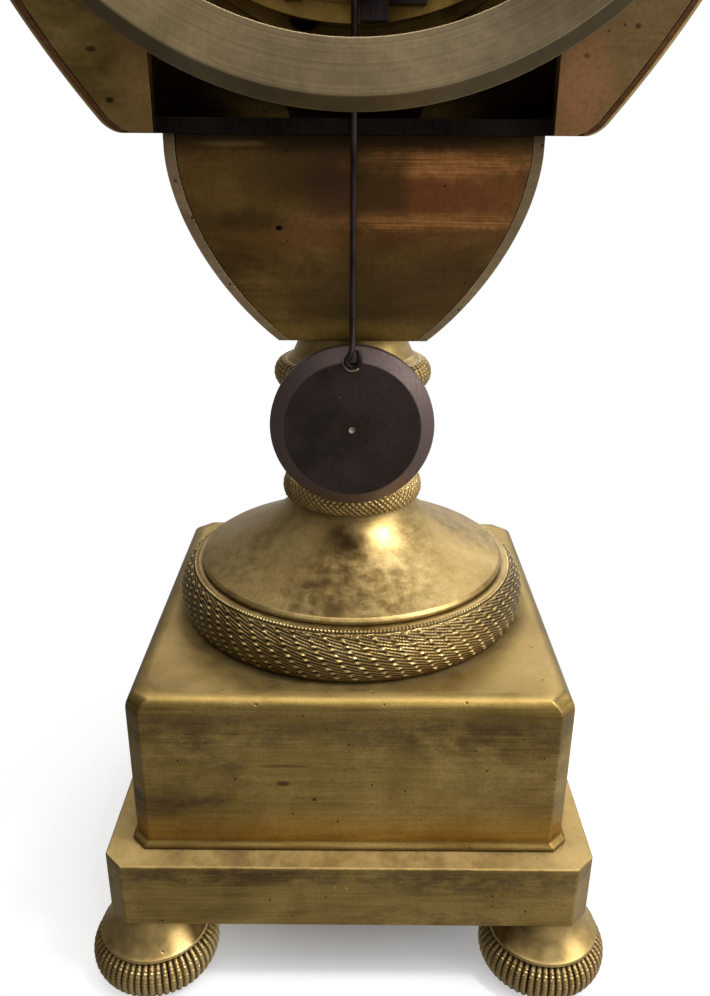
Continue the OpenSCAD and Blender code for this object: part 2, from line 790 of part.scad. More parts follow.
module pendulum_rod() {
    low = bob_z + bob_radius - 3.6;
    high = suspension_z - 13;
    color(steel) {
        translate([0, pendulum_y, low]) cylinder(r = 0.6, h = high - low);
        along_y(pendulum_y - 0.4, pendulum_y + 0.4) translate([0, high + 1]) difference() {
            circle(1.5);
            circle(0.7);
        }
        translate([-1.6, pendulum_y - 0.4, suspension_z - 11.2]) cube([3.2, 0.8, 0.7]);
    }
}

module pendulum_bob() {
    half = 3;
    bevel = 2.8;
    color("saddlebrown") difference() {
        turned_y([0, bob_z], [[0, pendulum_y - half], [bob_radius - bevel, pendulum_y - half],
            [bob_radius, pendulum_y - 1], [bob_radius, pendulum_y + 1],
            [bob_radius - bevel, pendulum_y + half], [0.5, pendulum_y + half],
            [0, pendulum_y + half - 0.4]]);
        translate([0, pendulum_y, bob_z + bob_radius - 3.6]) cylinder(r = 0.6, h = 8);
    }
}

// ---------- striking train ----------

module strike_barrel() {
    color(gold) barrel(strike, -2, heading(strike, strike_second));
}

module strike_winding_arbor() winding_arbor(strike);

module strike_wheel() {
    color(movement_brass) {
        rod_y(strike_second, pivot, front_plate_y + 0.3, front_plate_y + 3);
        rod_y(strike_second, 1.5, front_plate_y + 2.4, 18);
        along_y(-3.4, 1.2)
            toothed(strike_second, 12, great_module, heading(strike_second, strike) + 180 / 12);
        along_y(4.4, 5.8) difference() {
            toothed(strike_second, 48, 0.42, 0);
            crossings(strike_second, 3.2, 8, 4, 1.8);
        }
    }
}

module count_wheel() {
    color(movement_brass) along_y(14.6, 16) translate(strike_second) difference() {
        circle(12);
        circle(1.5);
        for (h = [1:12]) rotate(360 * (h * (h + 1) / 2 + h) / 90) translate([10.4, -0.7])
            square([3, 1.4]);
    }
}

module hammer() {
    head = hammer_pivot + [1.8, 14];
    color(steel) difference() {
        union() {
            rod_y(hammer_pivot, 2.6, 14, 18);
            along_y(15, 17) hull() {
                translate(hammer_pivot) circle(1.4);
                translate(head) circle(1.4);
            }
            rod_y(head, 2.6, 15, 30);
        }
        rod_y(hammer_pivot, 1.2 + clear, 10, 30);
    }
}

foot_front_left();
foot_front_right();
foot_rear_left();
foot_rear_right();
base_nuts();
plinth();
die();
foot_band();
pedestal_foot();
neck_band();
neck_knop();
tie_rod();
cup_shell();
cup_back_plate();
floor_plate();
belly_shell();
belly_back_plate();
plate_screws();
shoulder_collar();
lid();
finial();
front_collar();
dial_ring();
dial();
rear_ring();
bezel_straps();
strap_screws();
bezel_frame();
bezel_glass();
hinge_pin();
front_plate();
back_plate();
plate_pillars();
pillar_nuts();
clicks();
suspension_cock();
bell_stand();
bell();
bell_nut();
centre_arbor();
cannon_pinion();
minute_hand();
hand_collet();
hour_wheel();
hour_hand();
minute_wheel();
going_barrel();
going_winding_arbor();
third_wheel();
escape_wheel();
anchor();
crutch();
silk_loop();
pendulum_rod();
pendulum_bob();
strike_barrel();
strike_winding_arbor();
strike_wheel();
count_wheel();
hammer();
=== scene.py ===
from math import acos, ceil, copysign, cos, pi, radians, sin, sqrt, tan

import bmesh
import bpy
import numpy as np
from mathutils import Matrix, Vector


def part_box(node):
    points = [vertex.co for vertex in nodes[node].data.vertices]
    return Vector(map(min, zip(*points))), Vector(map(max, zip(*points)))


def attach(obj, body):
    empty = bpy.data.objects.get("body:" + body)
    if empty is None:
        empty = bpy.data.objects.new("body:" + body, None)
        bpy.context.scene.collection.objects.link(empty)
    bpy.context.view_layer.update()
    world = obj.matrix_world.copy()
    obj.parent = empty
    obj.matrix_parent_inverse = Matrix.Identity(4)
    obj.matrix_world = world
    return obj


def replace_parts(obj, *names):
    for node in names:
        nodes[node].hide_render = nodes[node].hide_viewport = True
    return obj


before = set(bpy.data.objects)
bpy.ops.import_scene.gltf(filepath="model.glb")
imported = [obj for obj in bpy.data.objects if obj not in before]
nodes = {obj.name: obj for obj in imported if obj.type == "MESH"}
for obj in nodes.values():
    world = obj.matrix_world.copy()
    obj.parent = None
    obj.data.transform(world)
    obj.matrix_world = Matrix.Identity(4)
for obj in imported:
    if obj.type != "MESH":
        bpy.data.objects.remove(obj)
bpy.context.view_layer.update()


# ---------- places, in millimetres, from the CAD boxes ----------


def low(node):
    """Lowest corner of a CAD node's box. high is the other one."""
    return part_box(node)[0] * 1000


def high(node):
    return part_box(node)[1] * 1000


plinth_top = high("plinth").z
die_top = high("die").z
band_top = high("foot_band").z
neck_band_top = high("neck_band").z
trumpet_top = low("neck_band").z
cup_bottom = low("cup_shell").z
cup_top = high("cup_shell").z
plate_top = high("belly_back_plate").z
urn_top = high("belly_shell").z
dial_z = (low("dial").z + high("dial").z) / 2
bob_z = (low("pendulum_bob").z + high("pendulum_bob").z) / 2
bell_z = (low("bell").z + high("bell").z) / 2
pendulum_y = (low("pendulum_bob").y + high("pendulum_bob").y) / 2
foot_height = low("plinth").z
foot_at = (low("foot_rear_right").x + high("foot_rear_right").x) / 2
knop_z = neck_band_top + 24.4
urn_wide_z = cup_top + 81.4
urn_half = 74
urn_back = high("belly_back_plate").y
cup_back = high("cup_back_plate").y


# ---------- mesh helpers, all in millimetres ----------


def smooth_by_angle(mesh, degrees=32):
    mesh.polygons.foreach_set("use_smooth", [True] * len(mesh.polygons))
    mesh.set_sharp_from_angle(angle=radians(degrees))


def walls(n, rings):
    """Four-sided faces round a stack of rings of n points."""
    return [(i * n + j, i * n + (j + 1) % n, i * n + n + (j + 1) % n, i * n + n + j)
            for i in range(rings - 1) for j in range(n)]


def mesh_of(name, points, faces):
    mesh = bpy.data.meshes.new(name)
    mesh.from_pydata([tuple(p) for p in np.asarray(points, float) * 0.001], [], faces)
    return mesh


def placed(name, data):
    obj = bpy.data.objects.new(name, data)
    bpy.context.scene.collection.objects.link(obj)
    return obj


def piece(name, points, faces, material, body, slot, relief=None):
    """A finished piece of the clock, riding on a body. relief is a shade for each point."""
    mesh = mesh_of(name, points, faces)
    mesh.update()
    if relief is not None:
        mesh.attributes.new("relief", "FLOAT", "POINT").data.foreach_set(
            "value", np.asarray(relief, np.float32).ravel())
    smooth_by_angle(mesh)
    obj = placed(name, mesh)
    mesh.materials.append(material)
    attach(obj, body)
    return obj


def rounded(profile, radius, steps=4):
    """Rounds the corners of an outline that turn by more than 15 degrees."""
    pts = [np.array(p, float) for p in profile]
    out = [pts[0]]
    for a, b, c in zip(pts, pts[1:], pts[2:]):
        u, v = a - b, c - b
        lu, lv = np.linalg.norm(u), np.linalg.norm(v)
        turn = pi - acos(np.clip(u @ v / (lu * lv), -1, 1))
        if turn < radians(15):
            out.append(b)
            continue
        cut = min(radius * tan(turn / 2), lu * 0.45, lv * 0.45)
        p, q = b + u / lu * cut, b + v / lv * cut
        for i in range(steps + 1):
            t = i / steps
            out.append((1 - t) ** 2 * p + 2 * t * (1 - t) * b + t * t * q)
    out.append(pts[-1])
    return np.array(out)


def resampled(profile, step):
    """The outline with no segment longer than step."""
    out = [profile[0]]
    for a, b in zip(profile, profile[1:]):
        n = max(1, ceil(np.linalg.norm(b - a) / step))
        out += [a + (b - a) * i / n for i in range(1, n + 1)]
    return np.array(out)


def curve(cr, ch, a, b, start, end, steps):
    """An elliptical arc of an outline, angles in degrees."""
    return [(cr + a * cos(radians(t)), ch + b * sin(radians(t)))
            for t in np.linspace(start, end, steps + 1)]


def lathed(name, profile, around, material, body="case", slot="gilt_bronze",
           axis="z", centre=(0, 0, 0), relief=None):
    """Turns an (r, height) outline about an axis. relief(angle, length, r, h) gives the height of
    the chasing in mm and its shade from 0 in a groove to 1 on top, which the chased finish paints
    as grime with painted shade in the grooves and wear with a painted highlight on top."""
    profile = np.asarray(profile, float)
    steps = np.linalg.norm(np.diff(profile, axis=0), axis=1)
    length = np.concatenate([[0], np.cumsum(steps)])
    tangent = np.gradient(profile, axis=0)
    tangent /= np.maximum(np.linalg.norm(tangent, axis=1), 1e-9)[:, None]
    normal = np.stack([tangent[:, 1], -tangent[:, 0]], axis=1)
    angle = np.arange(around) * 2 * pi / around
    turn, along = np.meshgrid(angle, length)
    r = np.repeat(profile[:, :1], around, axis=1)
    h = np.repeat(profile[:, 1:], around, axis=1)
    shade = None
    if relief:
        raised, shade = relief(turn, along, r, h)
        r = r + raised * normal[:, :1]
        h = h + raised * normal[:, 1:]
    r = np.maximum(r, 1e-4)
    x, y = r * np.cos(turn), r * np.sin(turn)
    points = np.stack([x, y, h], -1) if axis == "z" else np.stack([x, h, y], -1)
    points = points.reshape(-1, 3) + np.array(centre)
    faces = []
    for i in range(len(profile) - 1):
        for j in range(around):
            k = (j + 1) % around
            quad = (i * around + j, i * around + k, (i + 1) * around + k, (i + 1) * around + j)
            faces.append(quad if axis == "z" else quad[::-1])
    return piece(name, points, faces, material, body, slot, shade)


def prism(outline, y0, y1):
    """Points and faces of an (x, z) outline extruded along Y."""
    n = len(outline)
    points = [(x, y0, z) for x, z in outline] + [(x, y1, z) for x, z in outline]
    faces = [tuple(range(n)), tuple(reversed(range(n, 2 * n)))]
    faces += [(i, i + n, (i + 1) % n + n, (i + 1) % n) for i in range(n)]
    return points, faces


def joined(parts):
    """One list of points and one of faces from several pairs of them."""
    points, faces = [], []
    for pts, fcs in parts:
        faces += [tuple(i + len(points) for i in f) for f in fcs]
        points += list(pts)
    return points, faces


def ring_points(cx, cz, r, steps):
    return [(cx + r * cos(2 * pi * i / steps),
             cz + r * sin(2 * pi * i / steps)) for i in range(steps)]


def bevelled(obj, width, segments, angle):
    """Rounds the edges sharper than angle by width, in mm."""
    mesh = obj.data
    bm = bmesh.new()
    bm.from_mesh(mesh)
    edges = [e for e in bm.edges
             if len(e.link_faces) == 2 and e.calc_face_angle(0) > radians(angle)]
    bmesh.ops.bevel(bm, geom=edges, offset=width * 0.001, segments=segments, profile=0.5,
                    affect="EDGES", clamp_overlap=True)
    bm.to_mesh(mesh)
    bm.free()
    smooth_by_angle(mesh, 50)
    obj.modifiers.new("weighted", "WEIGHTED_NORMAL").keep_sharp = True


def closed_mesh(name, points, faces):
    """An object with no body yet, its faces turned outwards."""
    mesh = mesh_of(name, points, faces)
    bm = bmesh.new()
    bm.from_mesh(mesh)
    bmesh.ops.recalc_face_normals(bm, faces=bm.faces)
    bm.to_mesh(mesh)
    bm.free()
    return placed(name, mesh)


def cut_by(obj, cutters):
    """Takes the cutters away from a piece and deletes them."""
    for cutter in cutters:
        mod = obj.modifiers.new("cut", "BOOLEAN")
        mod.operation = "DIFFERENCE"
        mod.solver = "EXACT"
        mod.object = cutter
        bpy.context.view_layer.update()
        depsgraph = bpy.context.evaluated_depsgraph_get()
        mesh = bpy.data.meshes.new_from_object(obj.evaluated_get(depsgraph))
        obj.modifiers.clear()
        obj.data = mesh
        bpy.data.objects.remove(cutter)


# ---------- node helpers ----------


class Shader:
    """A material built from nodes, with coordinates in millimetres on the piece."""

    def __init__(self, name):
        self.material = bpy.data.materials.new(name)
        self.material.use_nodes = True
        self.tree = self.material.node_tree
        self.tree.nodes.clear()
        self.surface = self.node("BsdfPrincipled")
        self.out = self.node("OutputMaterial")
        self.tree.links.new(self.surface.outputs[0], self.out.inputs["Surface"])
        coords = self.node("TexCoord").outputs["Object"]
        self.place = self.vector("MULTIPLY", coords, (1000, 1000, 1000))

    def node(self, kind, **settings):
        n = self.tree.nodes.new("ShaderNode" + kind)
        for key, value in settings.items():
            setattr(n, key, value)
        return n

    def put(self, socket, value):
        if isinstance(value, bpy.types.NodeSocket):
            self.tree.links.new(value, socket)
        elif socket.type == "RGBA" and len(value) == 3:
            socket.default_value = (*value, 1)
        else:
            socket.default_value = value

    def maths(self, operation, a, b=0.0, clamp=False):
        n = self.node("Math", operation=operation, use_clamp=clamp)
        self.put(n.inputs[0], a)
        self.put(n.inputs[1], b)
        return n.outputs[0]

    def times(self, a, b):
        return self.maths("MULTIPLY", a, b)

    def plus(self, a, b, clamp=False):
        return self.maths("ADD", a, b, clamp)

    def vector(self, operation, a, b=(0, 0, 0), output=0):
        n = self.node("VectorMath", operation=operation)
        self.put(n.inputs[0], a)
        self.put(n.inputs[1], b)
        return n.outputs[output]

    def noise(self, scale, stretch=(1, 1, 1), detail=4.0, rough=0.55, distortion=0.0,
              offset=(0, 0, 0)):
        """Noise of scale waves to the millimetre, before stretch."""
        where = self.vector("MULTIPLY", self.vector("ADD", self.place, offset), stretch)
        n = self.node("TexNoise")
        self.put(n.inputs["Vector"], where)
        self.put(n.inputs["Scale"], scale)
        self.put(n.inputs["Detail"], detail)
        self.put(n.inputs["Roughness"], rough)
        self.put(n.inputs["Distortion"], distortion)
        return n.outputs[0]

    def ranged(self, value, a, b, c=0.0, d=1.0, smooth=True):
        """Maps a to b onto c to d, and holds the ends."""
        n = self.node("MapRange", interpolation_type="SMOOTHSTEP" if smooth else "LINEAR")
        for socket, number in zip(n.inputs[:5], (value, a, b, c, d)):
            self.put(socket, number)
        return n.outputs[0]

    def ramp(self, value, stops):
        n = self.node("ValToRGB")
        ramp = n.color_ramp
        while len(ramp.elements) < len(stops):
            ramp.elements.new(0.5)
        for element, (at, colour) in zip(ramp.elements, stops):
            element.position = at
            element.color = (*colour, 1)
        self.put(n.inputs[0], value)
        return n.outputs[0]

    def mix(self, factor, a, b):
        n = self.node("Mix", data_type="RGBA")
        self.put(n.inputs["Factor"], factor)
        self.put(n.inputs[6], a)
        self.put(n.inputs[7], b)
        return n.outputs[2]

    def over(self, colour, tint, mask, strength):
        """Lays a tint over a colour where the mask is 1."""
        return self.mix(self.times(mask, strength), colour, tint)

    def radius(self, x, z):
        """Distance from an axis along Y."""
        flat = self.vector("MULTIPLY", self.vector("SUBTRACT", self.place, (x, 0, z)), (1, 0, 1))
        return self.vector("LENGTH", flat, output=1)

    def axis(self, letter):
        n = self.node("SeparateXYZ")
        self.put(n.inputs[0], self.place)
        return n.outputs[letter]

    def attribute(self, name):
        return self.node("Attribute", attribute_name=name).outputs["Fac"]

    def spots(self, scale, size, share):
        """Small round marks scattered over the surface: 1 inside a mark."""
        n = self.node("TexVoronoi")
        self.put(n.inputs["Vector"], self.place)
        self.put(n.inputs["Scale"], scale)
        inside = self.ranged(n.outputs["Distance"], size, size * 0.4)
        pick = self.node("SeparateColor")
        self.put(pick.inputs[0], n.outputs["Color"])
        return self.times(inside, self.maths("LESS_THAN", pick.outputs[0], share))

    def blot(self, cx, cz, rx, rz, soft=0.35, square=False, ragged=0.25):
        """A soft patch about (cx, cz) on an upright face: 1 inside."""
        off = self.vector("SUBTRACT", self.place, (cx, 0, cz))
        d = self.vector("MULTIPLY", off, (1 / rx, 0, 1 / rz))
        if square:
            parts = self.node("SeparateXYZ")
            self.put(parts.inputs[0], d)
            far = self.maths("MAXIMUM", self.maths("ABSOLUTE", parts.outputs[0]),
                             self.maths("ABSOLUTE", parts.outputs[2]))
        else:
            far = self.vector("LENGTH", d, output=1)
        wobble = self.ranged(self.noise(0.35), 0.2, 0.8, -ragged, ragged, smooth=False)
        return self.ranged(self.plus(far, wobble), 1 + soft, 1 - soft)

    def corner(self, radius):
        n = self.node("Bevel", samples=4)
        self.put(n.inputs["Radius"], radius * 0.001)
        return n.outputs[0]

    def normal(self):
        return self.node("NewGeometry").outputs["Normal"]

    def edges(self, radius):
        """1 along the corners of a piece, where handling wears the surface."""
        same = self.vector("DOT_PRODUCT", self.corner(radius), self.normal(), output=1)
        return self.ranged(same, 0.985, 0.93)

    def crevice_shade_and_dirt(self, distance=4.0):
        """1 deep in corners and joints, by ambient occlusion: painted shade there, standing also
        for the grime that gathers.
        """
        n = self.node("AmbientOcclusion", samples=4)
        self.put(n.inputs["Distance"], distance * 0.001)
        return self.ranged(n.outputs["AO"], 0.95, 0.45)

    def bumps(self, *layers, smooth_edges=0.0):
        """Chains bump layers (height socket, depth in mm, strength) into the surface normal."""
        last = self.corner(smooth_edges) if smooth_edges else None
        for height, depth, strength in layers:
            n = self.node("Bump")
            self.put(n.inputs["Height"], height)
            self.put(n.inputs["Distance"], depth * 0.001)
            self.put(n.inputs["Strength"], strength)
            if last:
                self.put(n.inputs["Normal"], last)
            last = n.outputs[0]
        self.put(self.surface.inputs["Normal"], last)

    def finish(self, colour, rough, metallic=1.0):
        self.put(self.surface.inputs["Base Color"], colour)
        self.put(self.surface.inputs["Roughness"], rough)
        self.put(self.surface.inputs["Metallic"], metallic)
        return self.material


def srgb(r, g, b):
    """A colour as a screen shows it, made linear."""
    return tuple(c / 12.92 if c <= 0.04045 else ((c + 0.055) / 1.055) ** 2.4
                 for c in (r / 255, g / 255, b / 255))


def aged(name, tones, rough, streaks=(0.05, 0.05, 1.4), streak_depth=0.5,
         smudge=srgb(72, 50, 42), smudge_share=0.5, worn_and_highlight=srgb(214, 184, 104),
         grime_and_shade=srgb(38, 27, 18), relief=False, stains=(), marks=(), pits=0.14, wave=0.35,
         edge=0.6, grain=1.0, dust=0.0):
    """Old gilt bronze or brass: mottled tone, streaks of polishing, brown smudges, specks, grime
    with painted shade in the corners, worn edges, and on chased pieces grooves darkened to grime
    with painted shade and tops lightened to wear with a painted highlight. tones runs from dark to
    light, stains are level bands of (height, half depth, strength), and marks are (mask, tint,
    strength)."""
    s = Shader(name)
    mottle = s.noise(0.045, detail=6, rough=0.6, distortion=0.4)
    cloud = s.noise(0.012, detail=3, offset=(40, 10, 5))
    streak = s.noise(1.0, stretch=streaks, detail=5, rough=0.65)
    fine = s.noise(1.6, detail=3, rough=0.7)
    tone = s.plus(s.times(mottle, 0.55), s.times(streak, 0.3))
    tone = s.plus(tone, s.times(cloud, 0.15))
    colour = s.ramp(tone, [(0.36, tones[0]), (0.5, tones[1]), (0.64, tones[2])])
    colour = s.mix(s.ranged(fine, 0.35, 0.7, 0, 0.35), colour, tones[0])
    patch = s.noise(0.028, stretch=(1, 1, 2.4), detail=7, rough=0.68, distortion=0.3,
                    offset=(7, 3, 60))
    smudged = s.ranged(patch, 0.68 - smudge_share * 0.28, 0.8 - smudge_share * 0.22)
    smudged = s.times(smudged, s.ranged(streak, 0.3, 0.6, 0.35, 1))
    for z, half, strength in stains:
        off = s.maths("ABSOLUTE", s.maths("SUBTRACT", s.axis("Z"), z))
        near = s.ranged(off, half, 0, 0, strength)
        broken = s.noise(0.07, stretch=(1, 1, 2), detail=6, rough=0.7)
        near = s.times(near, s.ranged(broken, 0.3, 0.62, 0.25, 1))
        smudged = s.maths("MAXIMUM", smudged, near)
    colour = s.over(colour, smudge, smudged, 0.7)
    for mask, tint, strength in marks:
        colour = s.over(colour, tint, mask(s), strength)
    specks = s.spots(0.42, 0.16, pits)
    colour = s.over(colour, grime_and_shade, specks, 0.75)
    rubbed = s.ranged(s.noise(0.3, detail=4), 0.4, 0.6, 0.25, 1)
    if relief:
        # On chased pieces: grooves darkened to grime with painted shade, tops lightened to wear
        # with a painted highlight.
        height = s.attribute("relief")
        colour = s.mix(s.ranged(height, 0.66, 0.12, 0, 0.94), colour, grime_and_shade)
        colour = s.over(colour, worn_and_highlight, s.ranged(height, 0.74, 1.0), rubbed)
    if edge:
        colour = s.over(colour, worn_and_highlight, s.times(s.edges(edge), rubbed), 0.7)
    # Corners and joints darkened by ambient occlusion: painted shade, with grime.
    dirt_and_shade = s.crevice_shade_and_dirt()
    colour = s.over(colour, grime_and_shade, dirt_and_shade, 0.75)
    roughness = s.plus(s.ranged(streak, 0.3, 0.7, rough - 0.05, rough + 0.09),
                       s.times(smudged, 0.16))
    roughness = s.plus(roughness, s.times(dirt_and_shade, 0.25), clamp=True)
    wavy = s.noise(0.05, detail=2, rough=0.4, offset=(11, 0, 9))
    s.bumps((wavy, 0.9, wave), (streak, 0.02, streak_depth), (fine, 0.03, 0.35 * grain),
            (s.maths("SUBTRACT", 1.0, specks), 0.12, 0.6), smooth_edges=edge * 0.6)
    metallic = 1.0
    if dust:
        upward = s.node("SeparateXYZ")
        s.put(upward.inputs[0], s.normal())
        thick = s.ranged(s.noise(0.11, detail=6, rough=0.7), 0.3, 0.62, 0.45, 1)
        lying = s.times(s.ranged(upward.outputs[2], 0.75, 0.98), thick)
        lying = s.times(lying, dust)
        colour = s.mix(lying, colour, srgb(186, 158, 100))
        metallic = s.maths("SUBTRACT", 1.0, s.times(lying, 0.8))
        roughness = s.plus(roughness, s.times(lying, 0.2), clamp=True)
    return s.finish(colour, roughness, metallic)


# ---------- finishes ----------


def patch(cx, z, rx, rz, **settings):
    """A blot on an upright face, with cx counted towards the right as seen from the back."""
    return lambda s: s.blot(-cx, z, rx, rz, **settings)


def specked(cx, z, rx, rz, soft=0.6):
    """A blot broken up into fine dark specks."""
    def mask(s):
        inside = s.blot(-cx, z, rx, rz, soft=soft)
        grit = s.noise(2.4, stretch=(1, 1, 1.3), detail=4, rough=0.75, offset=(31, 7, 2))
        loose = s.noise(0.4, detail=3, offset=(2, 9, 4))
        both = s.plus(s.times(grit, 1.5), s.times(loose, 0.5))
        return s.times(inside, s.ranged(both, 1.06, 1.3))
    return mask


def brushed(cx, z, rx, rz, soft=0.6):
    """A blot broken up into fine level strokes."""
    def mask(s):
        inside = s.blot(-cx, z, rx, rz, soft=soft)
        hair = s.noise(1.0, stretch=(0.1, 0.1, 2.2), detail=5, rough=0.75, offset=(3, 17, 5))
        cloud = s.noise(0.16, stretch=(1, 1, 1.6), detail=7, rough=0.7, offset=(8, 1, 6))
        both = s.plus(s.times(hair, 0.35), s.times(cloud, 0.65))
        return s.times(inside, s.ranged(both, 0.4, 0.58, 0.05, 1))
    return mask


gold = (srgb(112, 92, 48), srgb(156, 130, 72), srgb(186, 160, 98))
plum = srgb(66, 48, 42)
# Colour of the painted reflection of the plinth on the die.
reflected_amber = srgb(196, 138, 44)
soot = srgb(34, 26, 18)

die_stains = [(die_top - 5, 5, 0.45), (plinth_top + 0.4, 1.6, 0.5)]
die_marks = [
    (brushed(27, die_top - 9, 22, 5), plum, 0.5),
    (brushed(-32, die_top - 8, 13, 4), plum, 0.4),
    (brushed(-8, die_top - 7.5, 48, 3.4), plum, 0.35),
    (brushed(34, die_top - 20, 12, 9), srgb(92, 68, 40), 0.35),
    (specked(25, die_top - 15, 17, 7), srgb(72, 48, 28), 0.3),
    # A painted reflection of the plinth along the foot of the die.
    (patch(10, plinth_top + 5, 44, 4, soft=0.9), reflected_amber, 0.22),
    (patch(-14, die_top - 20.5, 1.3, 0.6, soft=0.5), soot, 0.7),
    (patch(-7.4, die_top - 24.6, 0.5, 0.5, soft=0.5), soot, 0.7),
    (patch(-13.5, die_top - 16, 4.6, 0.4, soft=0.7), soot, 0.5),
]
plinth_stains = [(plinth_top + 0.2, 2.6, 0.45)]
plinth_marks = [
    (brushed(-28, plinth_top - 2.4, 22, 2.4), plum, 0.6),
    (brushed(28, plinth_top - 4, 22, 4), plum, 0.55),
    (specked(34, plinth_top - 8, 15, 5), srgb(58, 40, 28), 0.6),
    (brushed(4, plinth_top - 2.2, 50, 2), plum, 0.4),
    (specked(-31, plinth_top - 13, 9, 2.6), srgb(58, 40, 28), 0.55),
    (patch(-0.5, plinth_top - 5.4, 0.34, 0.3, soft=0.5), srgb(206, 178, 110), 0.7),
    (patch(-2.9, plinth_top - 5.2, 0.26, 0.24, soft=0.5), srgb(206, 178, 110), 0.6),
]
trumpet_marks = [
    (specked(-20, band_top + 7, 9, 4), soot, 0.5),
    (specked(-28, band_top + 5, 7, 3), soot, 0.35),
    (patch(-5, band_top + 13, 5, 8, soft=0.8), srgb(146, 104, 58), 0.25),
    (specked(27, band_top + 6, 8, 4), srgb(92, 58, 48), 0.2),
]
gilt_die = aged("gilt_die", gold, rough=0.36, pits=0.1, wave=0.25, dust=0.35, streak_depth=0.3,
                stains=die_stains, marks=die_marks)
gilt_plinth = aged("gilt_plinth", gold, rough=0.36, wave=0.25, dust=0.75, streak_depth=0.3,
                   stains=plinth_stains, marks=plinth_marks)
satin = (srgb(146, 121, 72), srgb(188, 160, 102), srgb(214, 188, 130))
gilt_smooth = aged("gilt_smooth", satin, rough=0.335, smudge_share=0.2, streak_depth=0.08,
                   wave=0.15, streaks=(0.3, 0.3, 0.5), pits=0.04)
gilt_trumpet = aged("gilt_trumpet", satin, rough=0.335, smudge_share=-0.5, streak_depth=0.03,
                    wave=0.04, streaks=(0.35, 0.35, 0.5), pits=0.0, grain=0.7,
                    marks=trumpet_marks)
gilt_urn = aged("gilt_urn", (srgb(118, 94, 48), srgb(166, 138, 74), srgb(198, 168, 98)),
                rough=0.335, smudge_share=0.45, wave=0.25)
gilt_chased = aged("gilt_chased", satin, rough=0.33, relief=True, worn_and_highlight=srgb(228, 212, 166),
                   grime_and_shade=srgb(40, 29, 19), smudge_share=0.2, streaks=(0.4, 0.4, 0.4),
                   streak_depth=0.05, edge=0, wave=0.05, pits=0.03)
cut_edge = aged("cut_edge", (srgb(120, 102, 76), srgb(150, 130, 100), srgb(178, 158, 126)),
                rough=0.5, smudge_share=0.3, pits=0.35, wave=0.15, smudge=srgb(74, 58, 44),
                edge=0.25,
                grime_and_shade=srgb(34, 26, 18))
rim_copper = aged("rim_copper", (srgb(70, 46, 32), srgb(98, 66, 44), srgb(122, 88, 58)), rough=0.42,
                  smudge_share=0.4, pits=0.2, wave=0.15, edge=0.25, worn_and_highlight=srgb(150, 112, 74))


def turned_brass(name, tones, height, rough, smudge=srgb(70, 58, 40), share=0.4, rim=None,
                 marks=()):
    """Brass turned on a lathe about an axis along Y at a height, with fine rings round it.
    rim is the two radii between which it is painted darker: a painted shade on the outer bevel."""
    s = Shader(name)
    radius = s.radius(0, height)
    rings = s.node("TexNoise")
    pair = s.node("CombineXYZ")
    s.put(pair.inputs[0], radius)
    s.put(rings.inputs["Vector"], pair.outputs[0])
    s.put(rings.inputs["Scale"], 1.9)
    s.put(rings.inputs["Detail"], 5.0)
    mottle = s.noise(0.06, detail=6, rough=0.62, distortion=0.3)
    fine = s.noise(1.4, detail=3, rough=0.7)
    tone = s.plus(s.times(mottle, 0.7), s.times(rings.outputs[0], 0.3))
    colour = s.ramp(tone, [(0.38, tones[0]), (0.52, tones[1]), (0.66, tones[2])])
    patch = s.noise(0.035, detail=7, rough=0.68, offset=(3, 50, 8))
    smudged = s.ranged(patch, 0.66 - share * 0.25, 0.78 - share * 0.2)
    colour = s.over(colour, smudge, smudged, 0.65)
    colour = s.mix(s.ranged(fine, 0.4, 0.75, 0, 0.4), colour, tones[0])
    for mask, tint, strength in marks:
        colour = s.over(colour, tint, mask(s), strength)
    # The outer bevel painted darker: a painted shade.
    if rim:
        colour = s.mix(s.ranged(radius, *rim, 0, 0.75), colour, srgb(58, 50, 34))
    specks = s.spots(0.5, 0.15, 0.12)
    colour = s.over(colour, srgb(36, 28, 18), specks, 0.7)
    colour = s.over(colour, tones[2], s.edges(0.5), 0.5)
    # Corners and joints darkened by ambient occlusion: painted shade, with grime.
    dirt_and_shade = s.crevice_shade_and_dirt(5)
    colour = s.over(colour, srgb(30, 22, 14), dirt_and_shade, 0.7)
    roughness = s.plus(s.ranged(rings.outputs[0], 0.3, 0.7, rough - 0.05, rough + 0.08),
                       s.times(smudged, 0.15), clamp=True)
    s.bumps((rings.outputs[0], 0.02, 0.5), (s.noise(0.05, detail=2), 0.6, 0.2), (fine, 0.02, 0.3),
            smooth_edges=0.35)
    return s.finish(colour, roughness)


# A painted highlight on the lower left of the ring, and its lower right darkened.
ring_highlight_and_dark_patch = [(patch(52, dial_z - 40, 38, 30, soft=0.9), srgb(92, 82, 66), 0.7),
              (patch(-48, dial_z - 40, 22, 24, soft=0.9), srgb(196, 174, 122), 0.5)]
ring_tones = (srgb(132, 115, 85), srgb(166, 146, 112), srgb(194, 174, 134))
plate_tones = (srgb(122, 94, 44), srgb(164, 132, 68), srgb(196, 164, 92))
bell_tones = (srgb(112, 104, 86), srgb(158, 150, 128), srgb(190, 182, 160))
ring_brass = turned_brass("ring_brass", ring_tones, dial_z, rough=0.42, smudge=srgb(108, 88, 66),
                          rim=(64.2, 65), marks=ring_highlight_and_dark_patch)
movement_brass = turned_brass("movement_brass", plate_tones, dial_z, rough=0.34, share=0.25)
bell_metal = turned_brass("bell_metal", bell_tones, bell_z, rough=0.33, smudge=srgb(84, 70, 50),
                          share=0.35)


